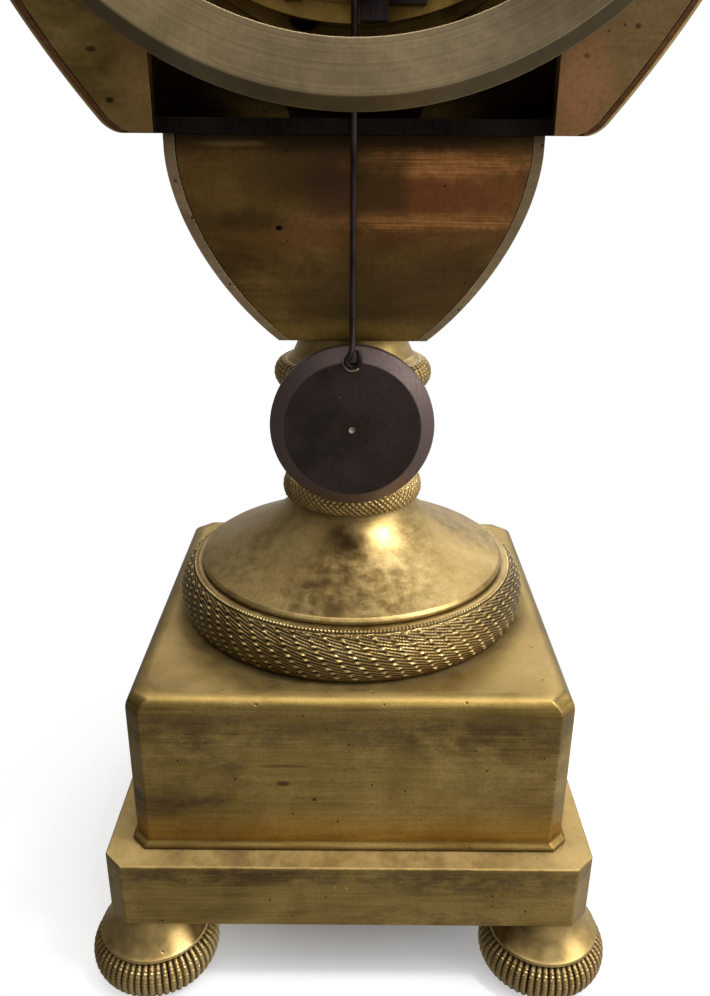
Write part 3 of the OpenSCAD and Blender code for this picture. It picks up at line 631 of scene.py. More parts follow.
def plate_copper(name, base, marks):
    """Hammered back plate gone copper brown, with long level rubbing marks. marks are (mask, tint,
    strength), painted reflections among them, with True after those that are broken into hairlines."""
    s = Shader(name)
    streak = s.noise(1.0, stretch=(0.035, 0.1, 1.2), detail=6, rough=0.7)
    hair = s.noise(1.0, stretch=(0.07, 0.1, 4.5), detail=4, rough=0.7, offset=(5, 0, 2))
    mottle = s.noise(0.06, stretch=(0.7, 1, 1.4), detail=7, rough=0.65, distortion=0.5)
    tone = s.plus(s.times(mottle, 0.82), s.times(streak, 0.18))
    colour = s.ramp(tone, [(0.36, base[0]), (0.5, base[1]), (0.64, base[2])])
    for mask, tint, strength, *lined in marks:
        m = mask(s)
        if lined:
            m = s.times(m, s.ranged(hair, 0.38, 0.62, 0.15, 1))
        colour = s.over(colour, tint, m, strength)
    fine = s.noise(1.2, detail=3, rough=0.7)
    colour = s.mix(s.ranged(fine, 0.4, 0.75, 0, 0.35), colour, base[0])
    specks = s.spots(0.4, 0.14, 0.16)
    colour = s.over(colour, srgb(30, 22, 16), specks, 0.7)
    # Corners and joints darkened by ambient occlusion: painted shade, with grime.
    dirt_and_shade = s.crevice_shade_and_dirt(3)
    colour = s.over(colour, srgb(30, 20, 14), dirt_and_shade, 0.7)
    rough = s.plus(s.ranged(streak, 0.3, 0.7, 0.3, 0.44), s.times(dirt_and_shade, 0.2), clamp=True)
    s.bumps((s.noise(0.05, detail=2), 0.8, 0.25), (hair, 0.02, 0.25), (fine, 0.02, 0.3),
            smooth_edges=0.3)
    return s.finish(colour, rough)


# Patches on the cup plate: stains and rubbing marks, with painted reflections where marked below.
cup_marks_and_reflections = [
    (patch(17, cup_top - 10.5, 17, 8, soft=0.7), srgb(132, 78, 46), 0.75),
    (patch(-9, cup_top - 17.5, 13, 4, soft=0.7), srgb(122, 80, 44), 0.45),
    (patch(-22, cup_top - 10, 11, 7, soft=0.8), srgb(112, 84, 42), 0.45),
    (patch(-11, cup_top - 6, 9, 5, soft=0.7), srgb(64, 50, 28), 0.5),
    (patch(0, cup_top - 0.9, 42, 2.2, soft=0.6), srgb(44, 31, 20), 0.85),
    # Two bright bands broken into hairlines: painted reflections of light in the rubbing marks.
    (patch(17, cup_top - 5.4, 13, 2, soft=0.8, ragged=0.7), srgb(216, 150, 86), 0.7, True),
    (patch(14, cup_top - 15.4, 16, 1.5, soft=0.8, ragged=0.7), srgb(214, 150, 84), 0.75, True),
    # An olive square right of the rod: a painted reflection.
    (patch(5.2, cup_top - 9.2, 5, 5.4, soft=0.45, square=True, ragged=0.22),
     srgb(62, 51, 29), 0.7),
    (patch(-4.2, cup_top - 9.2, 4.4, 6.2, soft=0.6), srgb(66, 44, 36), 0.6),
    (patch(-20, cup_top - 15.4, 6, 1.9, soft=0.7, ragged=0.5), srgb(56, 47, 28), 0.7),
    (patch(-14.5, cup_top - 16.9, 0.7, 0.5), srgb(18, 12, 8), 1.0),
    (patch(-2, cup_top - 31, 10, 6, soft=0.6), srgb(60, 49, 28), 0.6),
    (patch(4, cup_top - 37.6, 18, 2.4, soft=0.8), srgb(150, 122, 58), 0.6),
    (patch(-22.8, cup_top - 1.7, 5.6, 0.4, soft=0.9, ragged=0.9), srgb(150, 124, 78), 0.4),
    (patch(18, cup_top - 31, 14, 12, soft=0.9), srgb(96, 74, 46), 0.4),
]
wing_marks = [
    (patch(60, cup_top + 33.4, 34, 60, soft=0.6), srgb(134, 108, 76), 0.6),
    (patch(38, cup_top + 7, 5, 9, soft=0.8), srgb(176, 122, 84), 0.6),
    (patch(-36.5, cup_top + 8, 3, 12, soft=0.9), srgb(150, 116, 74), 0.5),
    (patch(-44, cup_top + 13, 0.75, 0.4, soft=0.5), srgb(40, 30, 18), 0.8),
    (patch(-41.6, cup_top + 5.2, 0.7, 0.5, soft=0.5), srgb(30, 22, 14), 0.9),
    (patch(47, cup_top + 17, 0.5, 0.4, soft=0.5), srgb(60, 42, 30), 0.8),
    (patch(39, cup_top + 12.5, 0.5, 0.4, soft=0.5), srgb(80, 50, 34), 0.7),
]
cup_tones = (srgb(70, 51, 27), srgb(98, 73, 39), srgb(124, 97, 52))
wing_tones = (srgb(82, 65, 35), srgb(112, 91, 50), srgb(138, 116, 68))
cup_copper = plate_copper("cup_copper", cup_tones, cup_marks_and_reflections)
wing_copper = plate_copper("wing_copper", wing_tones, wing_marks)


def iron(name, dark, light, rough, rust=srgb(74, 48, 34), metallic=0.9, rust_share=0.4):
    """Steel with brushed grain, dull patches and a little rust."""
    s = Shader(name)
    grain = s.noise(0.9, stretch=(1, 1, 0.15), detail=5, rough=0.7)
    cloud = s.noise(0.12, detail=5)
    colour = s.ramp(s.plus(s.times(grain, 0.5), s.times(cloud, 0.5)),
                    [(0.38, dark), (0.62, light)])
    rusty = s.ranged(s.noise(0.35, detail=6, rough=0.7, offset=(9, 2, 4)),
                     0.62 - rust_share * 0.2, 0.75)
    colour = s.over(colour, rust, rusty, 0.8)
    colour = s.over(colour, light, s.edges(0.3), 0.5)
    # Corners and joints darkened by ambient occlusion: painted shade, with grime.
    colour = s.over(colour, srgb(16, 14, 13), s.crevice_shade_and_dirt(2), 0.6)
    roughness = s.ranged(s.plus(grain, rusty), 0.3, 1.3, rough - 0.06, rough + 0.25)
    s.bumps((grain, 0.02, 0.5), (rusty, 0.03, 0.3), smooth_edges=0.2)
    return s.finish(colour, roughness, metallic)


steel = iron("steel", srgb(62, 58, 56), srgb(122, 118, 114), 0.36)
rod_iron = iron("rod_iron", srgb(34, 28, 28), srgb(72, 60, 58), 0.4, rust=srgb(52, 36, 32))
blackened = iron("blackened", srgb(14, 11, 8), srgb(38, 31, 24), 0.5, rust=srgb(46, 34, 22))
blued = iron("blued_steel", srgb(10, 16, 44), srgb(28, 44, 104), 0.22, rust=srgb(40, 24, 52),
             rust_share=0.0, metallic=1.0)


def bob_finish():
    s = Shader("bob_bronze")
    radius = s.radius(0, bob_z)
    cloud = s.noise(0.09, detail=6, rough=0.6)
    fine = s.noise(1.3, detail=4, rough=0.7)
    colour = s.ramp(cloud, [(0.36, srgb(44, 37, 31)), (0.5, srgb(56, 46, 42)),
                            (0.66, srgb(66, 54, 52))])
    colour = s.mix(s.ranged(fine, 0.45, 0.75, 0, 0.4), colour, srgb(34, 28, 24))
    # The bevel round each face painted lighter: a painted reflection of the light above.
    colour = s.mix(s.ranged(radius, 13.6, 14.1, 0, 0.7), colour, srgb(118, 102, 98))
    # A painted glint in the centre punch.
    colour = s.over(colour, srgb(170, 160, 150), s.ranged(radius, 0.75, 0.5), 0.9)
    specks = s.spots(0.45, 0.12, 0.12)
    colour = s.mix(specks, colour, srgb(92, 82, 80))
    rough = s.ranged(s.plus(cloud, fine), 0.6, 1.4, 0.4, 0.62)
    s.bumps((cloud, 0.15, 0.3), (fine, 0.025, 0.5), smooth_edges=0.3)
    return s.finish(colour, rough, 0.85)


def enamel_finish():
    s = Shader("enamel")
    cloud = s.noise(0.05, detail=4)
    craze = s.node("TexVoronoi", feature="DISTANCE_TO_EDGE")
    s.put(craze.inputs["Vector"], s.place)
    s.put(craze.inputs["Scale"], 0.035)
    lines = s.ranged(craze.outputs["Distance"], 0.006, 0.0, 0, 0.35)
    colour = s.ramp(cloud, [(0.35, srgb(226, 221, 206)), (0.65, srgb(242, 239, 228))])
    colour = s.mix(lines, colour, srgb(150, 138, 116))
    # Corners darkened by ambient occlusion: painted shade, with grime.
    colour = s.over(colour, srgb(150, 136, 108), s.crevice_shade_and_dirt(3), 0.4)
    s.put(s.surface.inputs["Coat Weight"], 0.6)
    s.bumps((cloud, 0.4, 0.12), (s.noise(0.7, detail=3), 0.02, 0.1))
    return s.finish(colour, s.ranged(cloud, 0.3, 0.7, 0.14, 0.24), 0.0)


def paint_finish():
    s = Shader("dial_ink")
    fine = s.noise(1.5, detail=4, rough=0.7)
    colour = s.ramp(fine, [(0.4, srgb(16, 14, 14)), (0.75, srgb(44, 40, 38))])
    s.bumps((fine, 0.01, 0.3))
    return s.finish(colour, s.ranged(fine, 0.3, 0.7, 0.25, 0.4), 0.0)


def glass_finish():
    s = Shader("glass")
    dust = s.noise(0.4, detail=6, rough=0.7)
    s.put(s.surface.inputs["Transmission Weight"], 1.0)
    s.put(s.surface.inputs["IOR"], 1.5)
    s.bumps((s.noise(0.02, detail=1), 0.2, 0.05))
    return s.finish(s.ramp(dust, [(0.4, (0.97, 0.985, 0.98)), (0.8, (0.9, 0.93, 0.9))]),
                    s.ranged(dust, 0.5, 0.8, 0.0, 0.05), 0.0)


def silk_finish():
    s = Shader("silk")
    twist = s.node("TexWave", wave_type="BANDS", bands_direction="DIAGONAL")
    s.put(twist.inputs["Vector"], s.place)
    s.put(twist.inputs["Scale"], 1.6)
    s.put(twist.inputs["Distortion"], 1.0)
    colour = s.ramp(twist.outputs[1], [(0.2, srgb(70, 48, 30)), (0.8, srgb(150, 116, 78))])
    s.put(s.surface.inputs["Sheen Weight"], 0.4)
    s.bumps((twist.outputs[1], 0.05, 0.7))
    return s.finish(colour, s.ranged(twist.outputs[1], 0, 1, 0.6, 0.8), 0.0)


bob_bronze = bob_finish()
enamel = enamel_finish()
ink = paint_finish()
glass = glass_finish()
silk = silk_finish()

by_slot = {"gilt_bronze": gilt_urn, "copper_plate": wing_copper, "ring_brass": ring_brass,
           "movement_brass": movement_brass, "blackened": blackened, "steel": steel,
           "blued_steel": blued, "bob_bronze": bob_bronze, "bell_metal": bell_metal,
           "enamel": enamel, "glass": glass, "silk": silk}
for name, obj in nodes.items():
    for place in obj.material_slots:
        slot = place.material.name.split(".")[0] if place.material else "gilt_bronze"
        place.material = by_slot[slot]
nodes["cup_back_plate"].material_slots[0].material = cup_copper
for name in ("pendulum_rod", "bell_stand", "crutch"):
    nodes[name].material_slots[0].material = rod_iron


# ---------- base ----------

plain = 0.7  # shade of the smooth parts of a chased piece


def ribbed(angle, along, ribs, start, end, depth, cross):
    """Upright ribs crossed by fine rings, between two lengths along the outline."""
    span = np.clip(np.minimum(along - start, end - along) / 0.8, 0, 1)
    rib = np.abs(np.cos(angle * ribs / 2)) ** 0.55
    lines = 0.5 + 0.5 * np.cos(2 * pi * along / cross + 0.9 * np.sin(angle * ribs))
    raised = span * (depth * rib + 0.2 * lines * rib - 0.6 * depth)
    return raised, plain + span * (0.16 + rib ** 2 * (0.3 + 0.5 * lines) - plain)


def foot_outline():
    torus = 10.4
    points = [(0.01, 0), (10.5, 0)] + curve(8.8, torus / 2, 5.1, torus / 2, -75, 75, 40)
    points += [(12.2, torus), (12, torus + 0.7)]
    rise = foot_height - torus - 0.9
    points += [(7.6 + 4.1 * (1 - t) ** 1.7, torus + 0.9 + rise * t) for t in np.linspace(0, 1, 22)]
    points += [(0.01, foot_height)]
    return rounded(points, 0.3)


foot_profile = foot_outline()
foot_names = {"foot_rear_right": (1, 1), "foot_rear_left": (-1, 1),
              "foot_front_right": (1, -1), "foot_front_left": (-1, -1)}
for name, (sx, sy) in foot_names.items():
    made = lathed(name + "_chased", foot_profile, 432, gilt_chased,
                  centre=(sx * foot_at, sy * foot_at, 0),
                  relief=lambda a, s, r, h: ribbed(a, s, 56, 11.4, 26.2, 0.42, 0.8))
    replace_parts(made, name)


def canted(half, cant):
    """A square with its corners cut off."""
    k = half - cant
    return [(half, -k), (half, k), (k, half), (-k, half),
            (-half, k), (-half, -k), (-k, -half), (k, -half)]


def stacked(levels):
    """Points and faces of canted squares stacked as (half, cant, height)."""
    points = [(x, y, z) for half, cant, z in levels for x, y in canted(half, cant)]
    ends = [tuple(reversed(range(8))), tuple(range(len(points) - 8, len(points)))]
    return points, walls(8, len(levels)) + ends


die_half, die_cant, die_moulding = 46.5, 3.2, 4.1
moulding = die_top - die_moulding
die_levels = [(die_half + out, die_cant, z) for out, z in
              ((0.9, plinth_top), (0.9, plinth_top + 0.9), (0, plinth_top + 1.7), (0, moulding))]
die_levels += [(die_half - 4.2 * (1 - cos(t)), die_cant + 0.6 * (1 - cos(t)),
                moulding + die_moulding * sin(t)) for t in np.linspace(0.12, pi / 2, 12)]
made = piece("die_block", *stacked(die_levels), gilt_die, "case", "gilt_bronze")
bevelled(made, 0.3, 2, 24)
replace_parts(made, "die")


def plinth_box():
    """The plinth, open below."""
    outer, inner, shelf = canted(52.5, 3.95), canted(49.0, 3), 3.5
    levels = [(outer, plinth_top), (outer, foot_height),
              (inner, foot_height), (inner, plinth_top - shelf)]
    points = [(x, y, z) for ring, z in levels for x, y in ring]
    ends = [tuple(range(8)), tuple(reversed(range(24, 32)))]
    return points, ends + [(b, a, d, c) for a, b, c, d in walls(8, 4)]


made = piece("plinth_box", *plinth_box(), gilt_plinth, "case", "gilt_bronze")
bevelled(made, 0.45, 3, 24)
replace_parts(made, "plinth")


# ---------- stem ----------


def braided(angle, along, strands, lean, start, end, depth, stitch, beads):
    """Slanting plaited strands of short stitches with a row of beads between them. start and end
    are lengths along the outline, and stitch and beads the spacing in mm."""
    span = np.clip(np.minimum(along - start, end - along) / 0.7, 0, 1)
    width = 2 * pi * 40 / strands
    across = angle * strands / (2 * pi) + along * lean / width
    cell = across - np.floor(across)
    strand = np.floor(across)
    body = np.clip(1.1 - 1.3 * (2 * cell - 1) ** 4, 0, 1)
    slant = (cell - 0.5) * width * 0.3
    stitches = 0.5 + 0.5 * np.cos(2 * pi * (along + slant) / stitch + strand * 1.9)
    gap = np.minimum(cell, 1 - cell)
    nearest = np.round(across)
    pearl = np.exp(-(gap * width / 0.5) ** 2)
    pearl = pearl * (0.5 + 0.5 * np.cos(2 * pi * along / beads + nearest * 2.1)) ** 1.5
    height = 0.45 * body * (0.25 + 0.75 * stitches) + 1.0 * pearl
    raised = span * depth * (height - 0.4)
    shade = np.clip(body * (0.12 + 0.42 * stitches) + 1.05 * pearl, 0, 1)
    return raised, plain + span * (shade - plain)


def band_relief(angle, along, r, h):
    raised, shade = braided(angle, along, strands=72, lean=0.72, start=7.8, end=18.9, depth=0.5,
                            stitch=0.8, beads=1.15)
    edge = np.exp(-((along - 19.3) / 0.3) ** 2)
    beads = edge * (0.5 + 0.5 * np.cos(angle * 290))
    groove = np.exp(-((along - 18.9) / 0.2) ** 2)
    shade = shade * (1 - groove) * (1 - 0.7 * edge) + beads
    return raised + 0.3 * beads - 0.15 * groove, np.clip(shade, 0, 1)


band_radius = high("foot_band").x
band_profile = [(33, die_top), (39.2, die_top)]
band_profile += curve(band_radius - 5.4, die_top + 4.6, 5.4, 6.9, -40, 78, 84)
band_profile += [(36.6, band_top), (33, band_top)]
made = lathed("foot_band_chased", rounded(band_profile, 0.25), 1170, gilt_chased,
              relief=band_relief)
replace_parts(made, "foot_band")

rim_z = band_top + 1.3
trumpet = [(0.01, die_top), (32.95, die_top), (32.95, band_top + 0.05),
           (36, band_top + 0.05), (36, rim_z - 0.4)]
trumpet += [(14 + 19.7 * (1 - t) ** 1.7 + 2.3 * (1 - t), rim_z + (trumpet_top - rim_z) * t)
            for t in np.linspace(0.015, 1, 64)]
trumpet += [(13.95, trumpet_top), (13.95, neck_band_top), (0.01, neck_band_top)]
made = lathed("trumpet_foot", rounded(trumpet, 0.3), 192, gilt_trumpet)
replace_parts(made, "pedestal_foot")


def netted(angle, along, r, h):
    """A fine net of crossing wires with knots of uneven brightness."""
    turn = angle * 72
    climb = along * 2 * pi / 1.35
    first, second = np.cos((turn + climb) / 2), np.cos((turn - climb) / 2)
    wires = np.maximum(first ** 4, second ** 4)
    knots = (first * second) ** 4
    uneven = np.sin(angle * 31 + 2 * np.sin(along * 2.3)) * np.sin(along * 4.1 + angle * 13)
    uneven = 0.75 + 0.25 * uneven
    span = np.clip(np.minimum(along - 0.7, 7.4 - along) / 0.4, 0, 1)
    shade = np.clip(0.4 + 0.6 * (0.62 * wires + 0.6 * knots) * uneven, 0, 1)
    return span * (0.3 * wires + 0.2 * knots - 0.2) * uneven, plain + span * (shade - plain)


neck_profile = [(13.2, trumpet_top)] + curve(13.8, trumpet_top + 2.1, 2.3, 3, -44, 62, 36)
neck_profile += [(14, neck_band_top), (13.2, neck_band_top)]
made = lathed("neck_band_net", resampled(rounded(neck_profile, 0.2), 0.18), 640, gilt_chased,
              relief=netted)
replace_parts(made, "neck_band")


def knop_relief(angle, along, r, h):
    inside = (h > knop_z - 3.4) & (h < knop_z + 3.4) & (r > 13.4)
    raised, shade = ribbed(angle, along, 64, -9, 99, 0.45, 0.85)
    soft = np.clip((3.1 - np.abs(h - knop_z)) / 0.6, 0, 1) * inside
    return raised * soft, plain + soft * (shade - plain)


knop = [(0.01, neck_band_top), (13.7, neck_band_top), (13.7, neck_band_top + 1)]
knop += [(8 + 5.7 * abs(2 * t - 1) ** 1.8, neck_band_top + 1 + 20 * t)
         for t in np.linspace(0.01, 1, 40)]
knop += curve(14.2, knop_z, 3.1, 3.1, -80, 80, 40) + [(13.9, knop_z + 3.9)]
knop += [(11.7 + 1.8 * (1 - t) ** 2, knop_z + 4.2 + (cup_bottom - knop_z - 4.2) * t)
         for t in np.linspace(0, 1, 12)]
knop += [(0.01, cup_bottom)]
made = lathed("neck_knop_turned", resampled(rounded(knop, 0.25), 0.3), 480, gilt_chased,
              relief=knop_relief)
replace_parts(made, "neck_knop")


# ---------- urn ----------


def superellipse_plan(z, inset):
    """Plan of the urn at height z, drawn in by inset, as the CAD shell has it."""
    below = z < urn_wide_z
    reach_down, reach_up = 120.5, 85.2  # from the widest level to where the curve would close
    t = (urn_wide_z - z) / reach_down if below else (z - urn_wide_z) / reach_up
    corner = max(0, cup_top + 2 - z)
    half = urn_half * (1 - t ** (2.1 if below else 2.4)) - (2 - sqrt(max(0, 4 - corner ** 2)))
    rise = max(0, z - urn_wide_z) / (urn_top - urn_wide_z)
    front = 47 - 21 * rise ** 2.4 - inset
    over = max(0, z - plate_top) / 12
    rear = urn_back - 6 * over ** 2 - inset
    w = half - inset
    a = w + 3 * (1 - over)
    e = 2 + 0.9 * min(1, (urn_top - z) / 60)
    points = []
    for i in range(97):
        c, s = cos(pi * i / 96), sin(pi * i / 96)
        points.append((a * copysign(abs(c) ** (2 / e), c), -front * max(s, 0) ** (2 / e)))
    turns = np.linspace(0, pi / 2, 11)
    points += [(-(w + (a - w) * cos(t)), rear * sin(t)) for t in turns[1:]]
    points += [(w + (a - w) * cos(t), rear * sin(t)) for t in turns[:0:-1]]
    return points


def lofted(name, levels, rings):
    """A closed block through one plan ring at each level."""
    n = len(rings[0])
    points = [(x, y, z) for ring, z in zip(rings, levels) for x, y in ring]
    ends = [tuple(reversed(range(n))), tuple(range(len(points) - n, len(points)))]
    return closed_mesh(name, points, ends + walls(n, len(levels)))


def urn_block(name, inset, bottom, top):
    corner = [bottom + 2 * (1 - cos(t)) for t in np.linspace(0, pi / 2, 7)]
    levels = corner[:-1] + list(np.linspace(bottom + 2, top, 72))
    return lofted(name, levels, [superellipse_plan(z, inset) for z in levels])


def dressed(obj, skin, rear):
    """Gives a shell its skin, and another finish to its faces that look backwards."""
    obj.data.materials.clear()
    obj.data.materials.append(skin)
    obj.data.materials.append(rear)
    for face in obj.data.polygons:
        if face.normal.y > 0.99:
            face.material_index = 1
    smooth_by_angle(obj.data, 30)
    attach(obj, "case")
    return obj


def window_outline(inset):
    """Outline of the opening that the urn's back plate fills."""
    rear_corner = -10
    levels = [cup_top - 2] + list(np.linspace(cup_top + 0.3, plate_top + 0.02, 60))
    side = [(superellipse_plan(max(z, cup_top), 0)[rear_corner][0] - inset, z) for z in levels]
    return side + [(-x, z) for x, z in reversed(side)]


def urn_skin():
    wall = 2.8
    shell = urn_block("urn_skin", 0, cup_top, urn_top)
    hollow = urn_block("hollow", wall, cup_top - 1, urn_top - wall)
    window = closed_mesh("window", *prism(window_outline(1.1), 20, urn_back + 5))
    opening = closed_mesh("opening", *prism(ring_points(0, dial_z, 64.1, 160), -70, -10))
    cut_by(shell, [hollow, window, opening])
    return dressed(shell, gilt_urn, rim_copper)


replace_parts(urn_skin(), "belly_shell")


def cup_radius_at(z):
    return 39.8 * (1 - (max(0, cup_top - 2.6 - z) / 58.4) ** 1.8)


def cup_half(z):
    return sqrt(cup_radius_at(z) ** 2 - cup_back ** 2)


def cup_plan(z, inset, past):
    """Plan of the cup at height z, drawn in by inset and carried past its flat back."""
    across, deep = cup_half(z) - inset, cup_radius_at(z) + cup_back - inset
    points = []
    for t in np.linspace(0, pi, 129):
        c, s = cos(t), max(sin(t), 0)
        points.append((across * copysign(abs(c) ** (2 / 2.4), c),
                       cup_back - deep * s ** (2 / 2.4)))
    points[0], points[-1] = (across, cup_back + past), (-across, cup_back + past)
    return points


def cup_skin():
    wall, bottom = 2.1, 2.8
    outer = list(np.linspace(cup_bottom, cup_top, 60))
    inner = list(np.linspace(cup_bottom + bottom, cup_top + 1, 50))
    cup = lofted("cup_skin", outer, [cup_plan(z, 0, 0) for z in outer])
    hollow = lofted("hollow", inner, [cup_plan(z, wall, 1) for z in inner])
    slot = [(2 * cup_half(cup_bottom) - cup_half(cup_bottom + 1) - wall, cup_bottom - 1)]
    slot += [(cup_half(cup_bottom + up) - wall, cup_bottom + up) for up in (0, 1.6, 3.2)]
    slot += [(-x, z) for x, z in reversed(slot)]
    cut_by(cup, [hollow, closed_mesh("slot", *prism(slot, cup_back - 2.6, cup_back + 5))])
    return dressed(cup, gilt_urn, cut_edge)


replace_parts(cup_skin(), "cup_shell")

collar = [(12, urn_top), (25.5, urn_top)] + curve(24.5, urn_top + 2.5, 3, 2.5, -60, 60, 24)
collar += [(18.5 + 6.5 * abs(1.9 * t - 1) ** 2, urn_top + 5.2 + 12.5 * t)
           for t in np.linspace(0, 1, 40)]
collar += [(27.5, urn_top + 18.5), (27.5, urn_top + 20.5), (26.5, urn_top + 21), (12, urn_top + 21)]
made = lathed("shoulder_collar_turned", rounded(collar, 0.3), 160, gilt_smooth)
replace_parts(made, "shoulder_collar")

lid_z = urn_top + 21
lid = [(0.01, lid_z), (25.5, lid_z), (25.5, lid_z + 1.5)]
lid += curve(7, lid_z + 1.8, 17.6, 10.5, 0, 90, 48)
lid += [(6, lid_z + 13.5), (5.2, lid_z + 16), (0.01, lid_z + 16)]
made = lathed("lid_turned", rounded(lid, 0.3), 160, gilt_smooth)
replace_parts(made, "lid")

tip_z = urn_top + 37


def gadroons(angle, along, r, h):
    """Shallow lobes round the lower half of the finial's bud."""
    share = np.clip((h - tip_z - 5) / 3, 0, 1) * np.clip((tip_z + 17 - h) / 4, 0, 1)
    lobe = np.abs(np.cos(angle * 8))
    return share * (0.5 * lobe - 0.5), plain * (1 - share * 0.6 * (1 - lobe))


bud = [(0.01, tip_z), (6.6, tip_z), (6.6, tip_z + 1.6), (4.6, tip_z + 2.6)]
bud += [(8.6 * sin(radians(28 + 152 * t)), tip_z + 3.4 + 20 * t)
        for t in np.linspace(0, 0.985, 60)]
bud += [(0.01, tip_z + 23.4)]
made = lathed("finial_bud", rounded(bud, 0.3), 192, gilt_chased, relief=gadroons)
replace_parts(made, "finial")


# ---------- pendulum ----------

bob_radius, face_radius = 16.7, 16.7 - 2.8
bob = [(radius, pendulum_y + out) for radius, out in
       ((0.01, -3), (face_radius, -3), (bob_radius, -1), (bob_radius, 1), (face_radius, 3),
        (0.7, 3), (0.01, 2.6))]
made = lathed("bob_turned", rounded(bob, 0.25)[::-1], 144, bob_bronze, "pendulum", "bob_bronze",
              "y", (0, 0, bob_z))
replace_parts(made, "pendulum_bob")


def hook_wire(name, points, radius, material):
    """A round wire of the pendulum along a smooth curve, its points counted from the hook."""
    data = bpy.data.curves.new(name, "CURVE")
    data.dimensions = "3D"
    data.bevel_depth = radius * 0.001
    data.bevel_resolution = 4
    data.use_fill_caps = True
    spline = data.splines.new("NURBS")
    spline.points.add(len(points) - 1)
    for point, place in zip(spline.points, points):
        point.co = (*[(c + o) * 0.001 for c, o in zip(place, (0, pendulum_y, bob_z + 14))], 1)
    spline.use_endpoint_u = True
    spline.order_u = 3
    obj = placed(name, data)
    data.materials.append(material)
    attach(obj, "pendulum")


hook_wire("rod_hook", [(0, 0.4, 7.5), (0, 0.9, 5), (0, 2.4, 3.2), (0.2, 3.5, 1.6), (1.5, 3.7, 0.2),
                       (0.5, 3.7, -1.1), (-1.1, 3.7, -0.7), (-1.6, 3.6, 0.8), (-1.0, 3.2, 2.4)],
          0.55, rod_iron)
hook_wire("hook_eye", [(1.9, 3.3, 0.6), (1.4, 3.6, -1.1), (0.2, 3.7, -1.8), (-1.2, 3.6, -1.2)],
          0.34, bell_metal)


# ---------- dial ----------


def bar(x0, z0, x1, z1, width):
    """A straight stroke as a four-cornered outline."""
    d = np.array([x1 - x0, z1 - z0])
    n = np.array([-d[1], d[0]]) / np.linalg.norm(d) * width / 2
    return [(x0 + n[0], z0 + n[1]), (x0 - n[0], z0 - n[1]),
            (x1 - n[0], z1 - n[1]), (x1 + n[0], z1 + n[1])]


def numeral(text, tall):
    """Strokes of a Roman numeral, centred, with serifs."""
    advance = {"I": 1.9, "V": 4.6, "X": 4.6}
    thick, thin, serif = 0.95, 0.3, 0.22
    top, foot = tall / 2, -tall / 2
    at, strokes = -sum(advance[c] for c in text) / 2, []
    for c in text:
        mid = at + advance[c] / 2
        if c == "I":
            strokes.append(bar(mid, foot, mid, top, thick))
            strokes += [bar(mid - 0.95, z, mid + 0.95, z, serif) for z in (foot, top)]
        if c == "V":
            strokes.append(bar(mid - 1.5, top, mid + 0.1, foot, thick))
            strokes.append(bar(mid + 1.6, top, mid + 0.1, foot, thin))
            strokes += [bar(mid + s - 0.9, top, mid + s + 0.9, top, serif) for s in (-1.5, 1.6)]
        if c == "X":
            strokes.append(bar(mid - 1.5, top, mid + 1.5, foot, thick))
            strokes.append(bar(mid + 1.5, top, mid - 1.5, foot, thin))
            strokes += [bar(mid + s - 0.9, z, mid + s + 0.9, z, serif)
                        for s in (-1.5, 1.5) for z in (foot, top)]
        at += advance[c]
    return strokes


def dial_marks():
    """Hour numerals and minute track, a hair in front of the dial."""
    face = low("dial").y
    parts = []
    hours = ["I", "II", "III", "IIII", "V", "VI", "VII", "VIII", "IX", "X", "XI", "XII"]
    for hour, text in enumerate(hours, 1):
        a = radians(90 - 30 * hour)
        outward = np.array([cos(a), sin(a)])
        right = np.array([sin(a), -cos(a)])
        middle = np.array([0, dial_z]) + outward * 42.5
        for stroke in numeral(text, 8.6):
            outline = [tuple(middle + right * u + outward * v) for u, v in stroke]
            parts.append(prism(outline, face - 0.05, face + 0.02))
    for minute in range(60):
        a = radians(6 * minute)
        c, s = cos(a), sin(a)
        wide = 0.75 if minute % 5 == 0 else 0.28
        outline = bar(49.2 * c, dial_z + 49.2 * s, 50.8 * c, dial_z + 50.8 * s, wide)
        parts.append(prism(outline, face - 0.05, face + 0.02))
    points, faces = joined(parts)
    for radius in (49.1, 50.9):
        steps = 144
        rings = [ring_points(0, dial_z, radius + d, steps) for d in (-0.1, 0.1)]
        first = len(points)
        points += [(x, face - 0.05, z) for ring in rings for x, z in ring]
        for i in range(steps):
            after = first + (i + 1) % steps
            faces.append((first + i, after, after + steps, first + steps + i))
    return points, faces


piece("dial_numerals", *dial_marks(), ink, "case", "enamel")

# ---------- scene ----------

floor_mesh = bpy.data.meshes.new("floor")
floor_mesh.from_pydata([(-9, -9, 0), (9, -9, 0), (9, 9, 0), (-9, 9, 0)], [], [(0, 1, 2, 3)])
floor = placed("floor", floor_mesh)
floor.visible_glossy = False
paper = Shader("paper")
paper.bumps((paper.noise(0.02), 0.05, 0.1))
floor_mesh.materials.append(paper.finish((0.93, 0.93, 0.93), 0.9, 0.0))
clear = paper.node("BsdfTransparent")
fade = paper.node("MixShader")
paper.put(fade.inputs[0], paper.ranged(paper.vector("LENGTH", paper.place, output=1), 15, 115))
paper.tree.links.new(paper.surface.outputs[0], fade.inputs[1])
paper.tree.links.new(clear.outputs[0], fade.inputs[2])
paper.tree.links.new(fade.outputs[0], paper.out.inputs["Surface"])

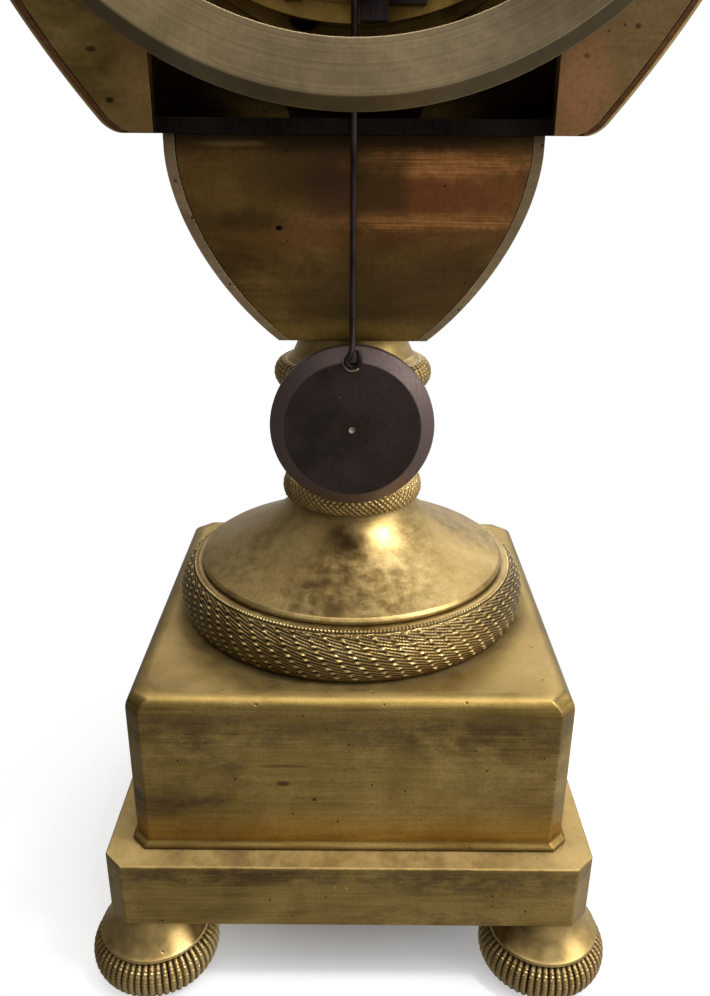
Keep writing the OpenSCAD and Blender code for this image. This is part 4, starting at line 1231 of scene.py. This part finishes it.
# White where the camera sees it. The light it gives changes with height and is stronger at -X.
world = bpy.data.worlds.new("studio")
bpy.context.scene.world = world
world.use_nodes = True
tree = world.node_tree
tree.nodes.clear()
out, seen, lit, path, both, where, split, height, ramp, across = [
    tree.nodes.new("ShaderNode" + kind) for kind in
    ("OutputWorld", "Background", "Background", "LightPath", "MixShader", "TexCoord",
     "SeparateXYZ", "MapRange", "ValToRGB", "MapRange")]
seen.inputs[0].default_value = (1, 1, 1, 1)
height.inputs["From Min"].default_value = -1
for socket, number in zip(across.inputs[1:5], (-1, 1, 1.5, 0.25)):
    socket.default_value = number
sky = [(0.0, 0.5), (0.3, 0.56), (0.44, 0.5), (0.54, 0.62), (0.63, 0.42), (0.8, 0.5), (0.95, 0.9)]
while len(ramp.color_ramp.elements) < len(sky):
    ramp.color_ramp.elements.new(0.5)
for element, (at, level) in zip(ramp.color_ramp.elements, sky):
    element.position = at
    element.color = (level, level * 0.985, level * 0.96, 1)
for source, socket in ((where.outputs["Generated"], split.inputs[0]),
                       (split.outputs[2], height.inputs[0]), (height.outputs[0], ramp.inputs[0]),
                       (split.outputs[0], across.inputs[0]), (ramp.outputs[0], lit.inputs[0]),
                       (across.outputs[0], lit.inputs[1]),
                       (path.outputs["Is Camera Ray"], both.inputs[0]),
                       (lit.outputs[0], both.inputs[1]), (seen.outputs[0], both.inputs[2]),
                       (both.outputs[0], out.inputs[0])):
    tree.links.new(source, socket)


def lamp(name, place, aim, width, height, power):
    data = bpy.data.lights.new(name, "AREA")
    data.shape = "RECTANGLE"
    data.size, data.size_y = width, height
    data.energy = power
    obj = placed(name, data)
    obj.location = place
    obj.rotation_euler = (Vector(aim) - Vector(place)).to_track_quat("-Z", "Y").to_euler()


lamp("window", (-0.69, 0.27, 1.29), (0, 0.02, 0.09), 0.16, 0.2, 9)
lamp("side", (-1.1, 0.5, 0.75), (0, 0, 0.12), 0.8, 0.9, 7)
lamp("overhead", (0, 0.1, 2.0), (0, 0, 0.1), 1.6, 1.6, 25)
lamp("front", (-0.4, -1.4, 1.1), (0, 0, 0.15), 1.6, 1.1, 8)

camera_data = bpy.data.cameras.new("camera")
camera = placed("camera", camera_data)
bpy.context.scene.camera = camera
camera_data.sensor_width = 36
camera_data.lens = 32.44
camera_data.clip_start = 0.01
pitch, roll = radians(22.04), radians(0.42)
right = Vector((-1, 0, 0))
up = Vector((0, -sin(pitch), cos(pitch)))
back = Vector((0, cos(pitch), sin(pitch)))
x_axis = right * cos(roll) + up * sin(roll)
y_axis = up * cos(roll) - right * sin(roll)
camera.matrix_world = Matrix.Translation((-0.0007, 0.1986, 0.1776)) @ Matrix(
    (x_axis, y_axis, back)).transposed().to_4x4()

bpy.context.scene.view_settings.view_transform = "Standard"
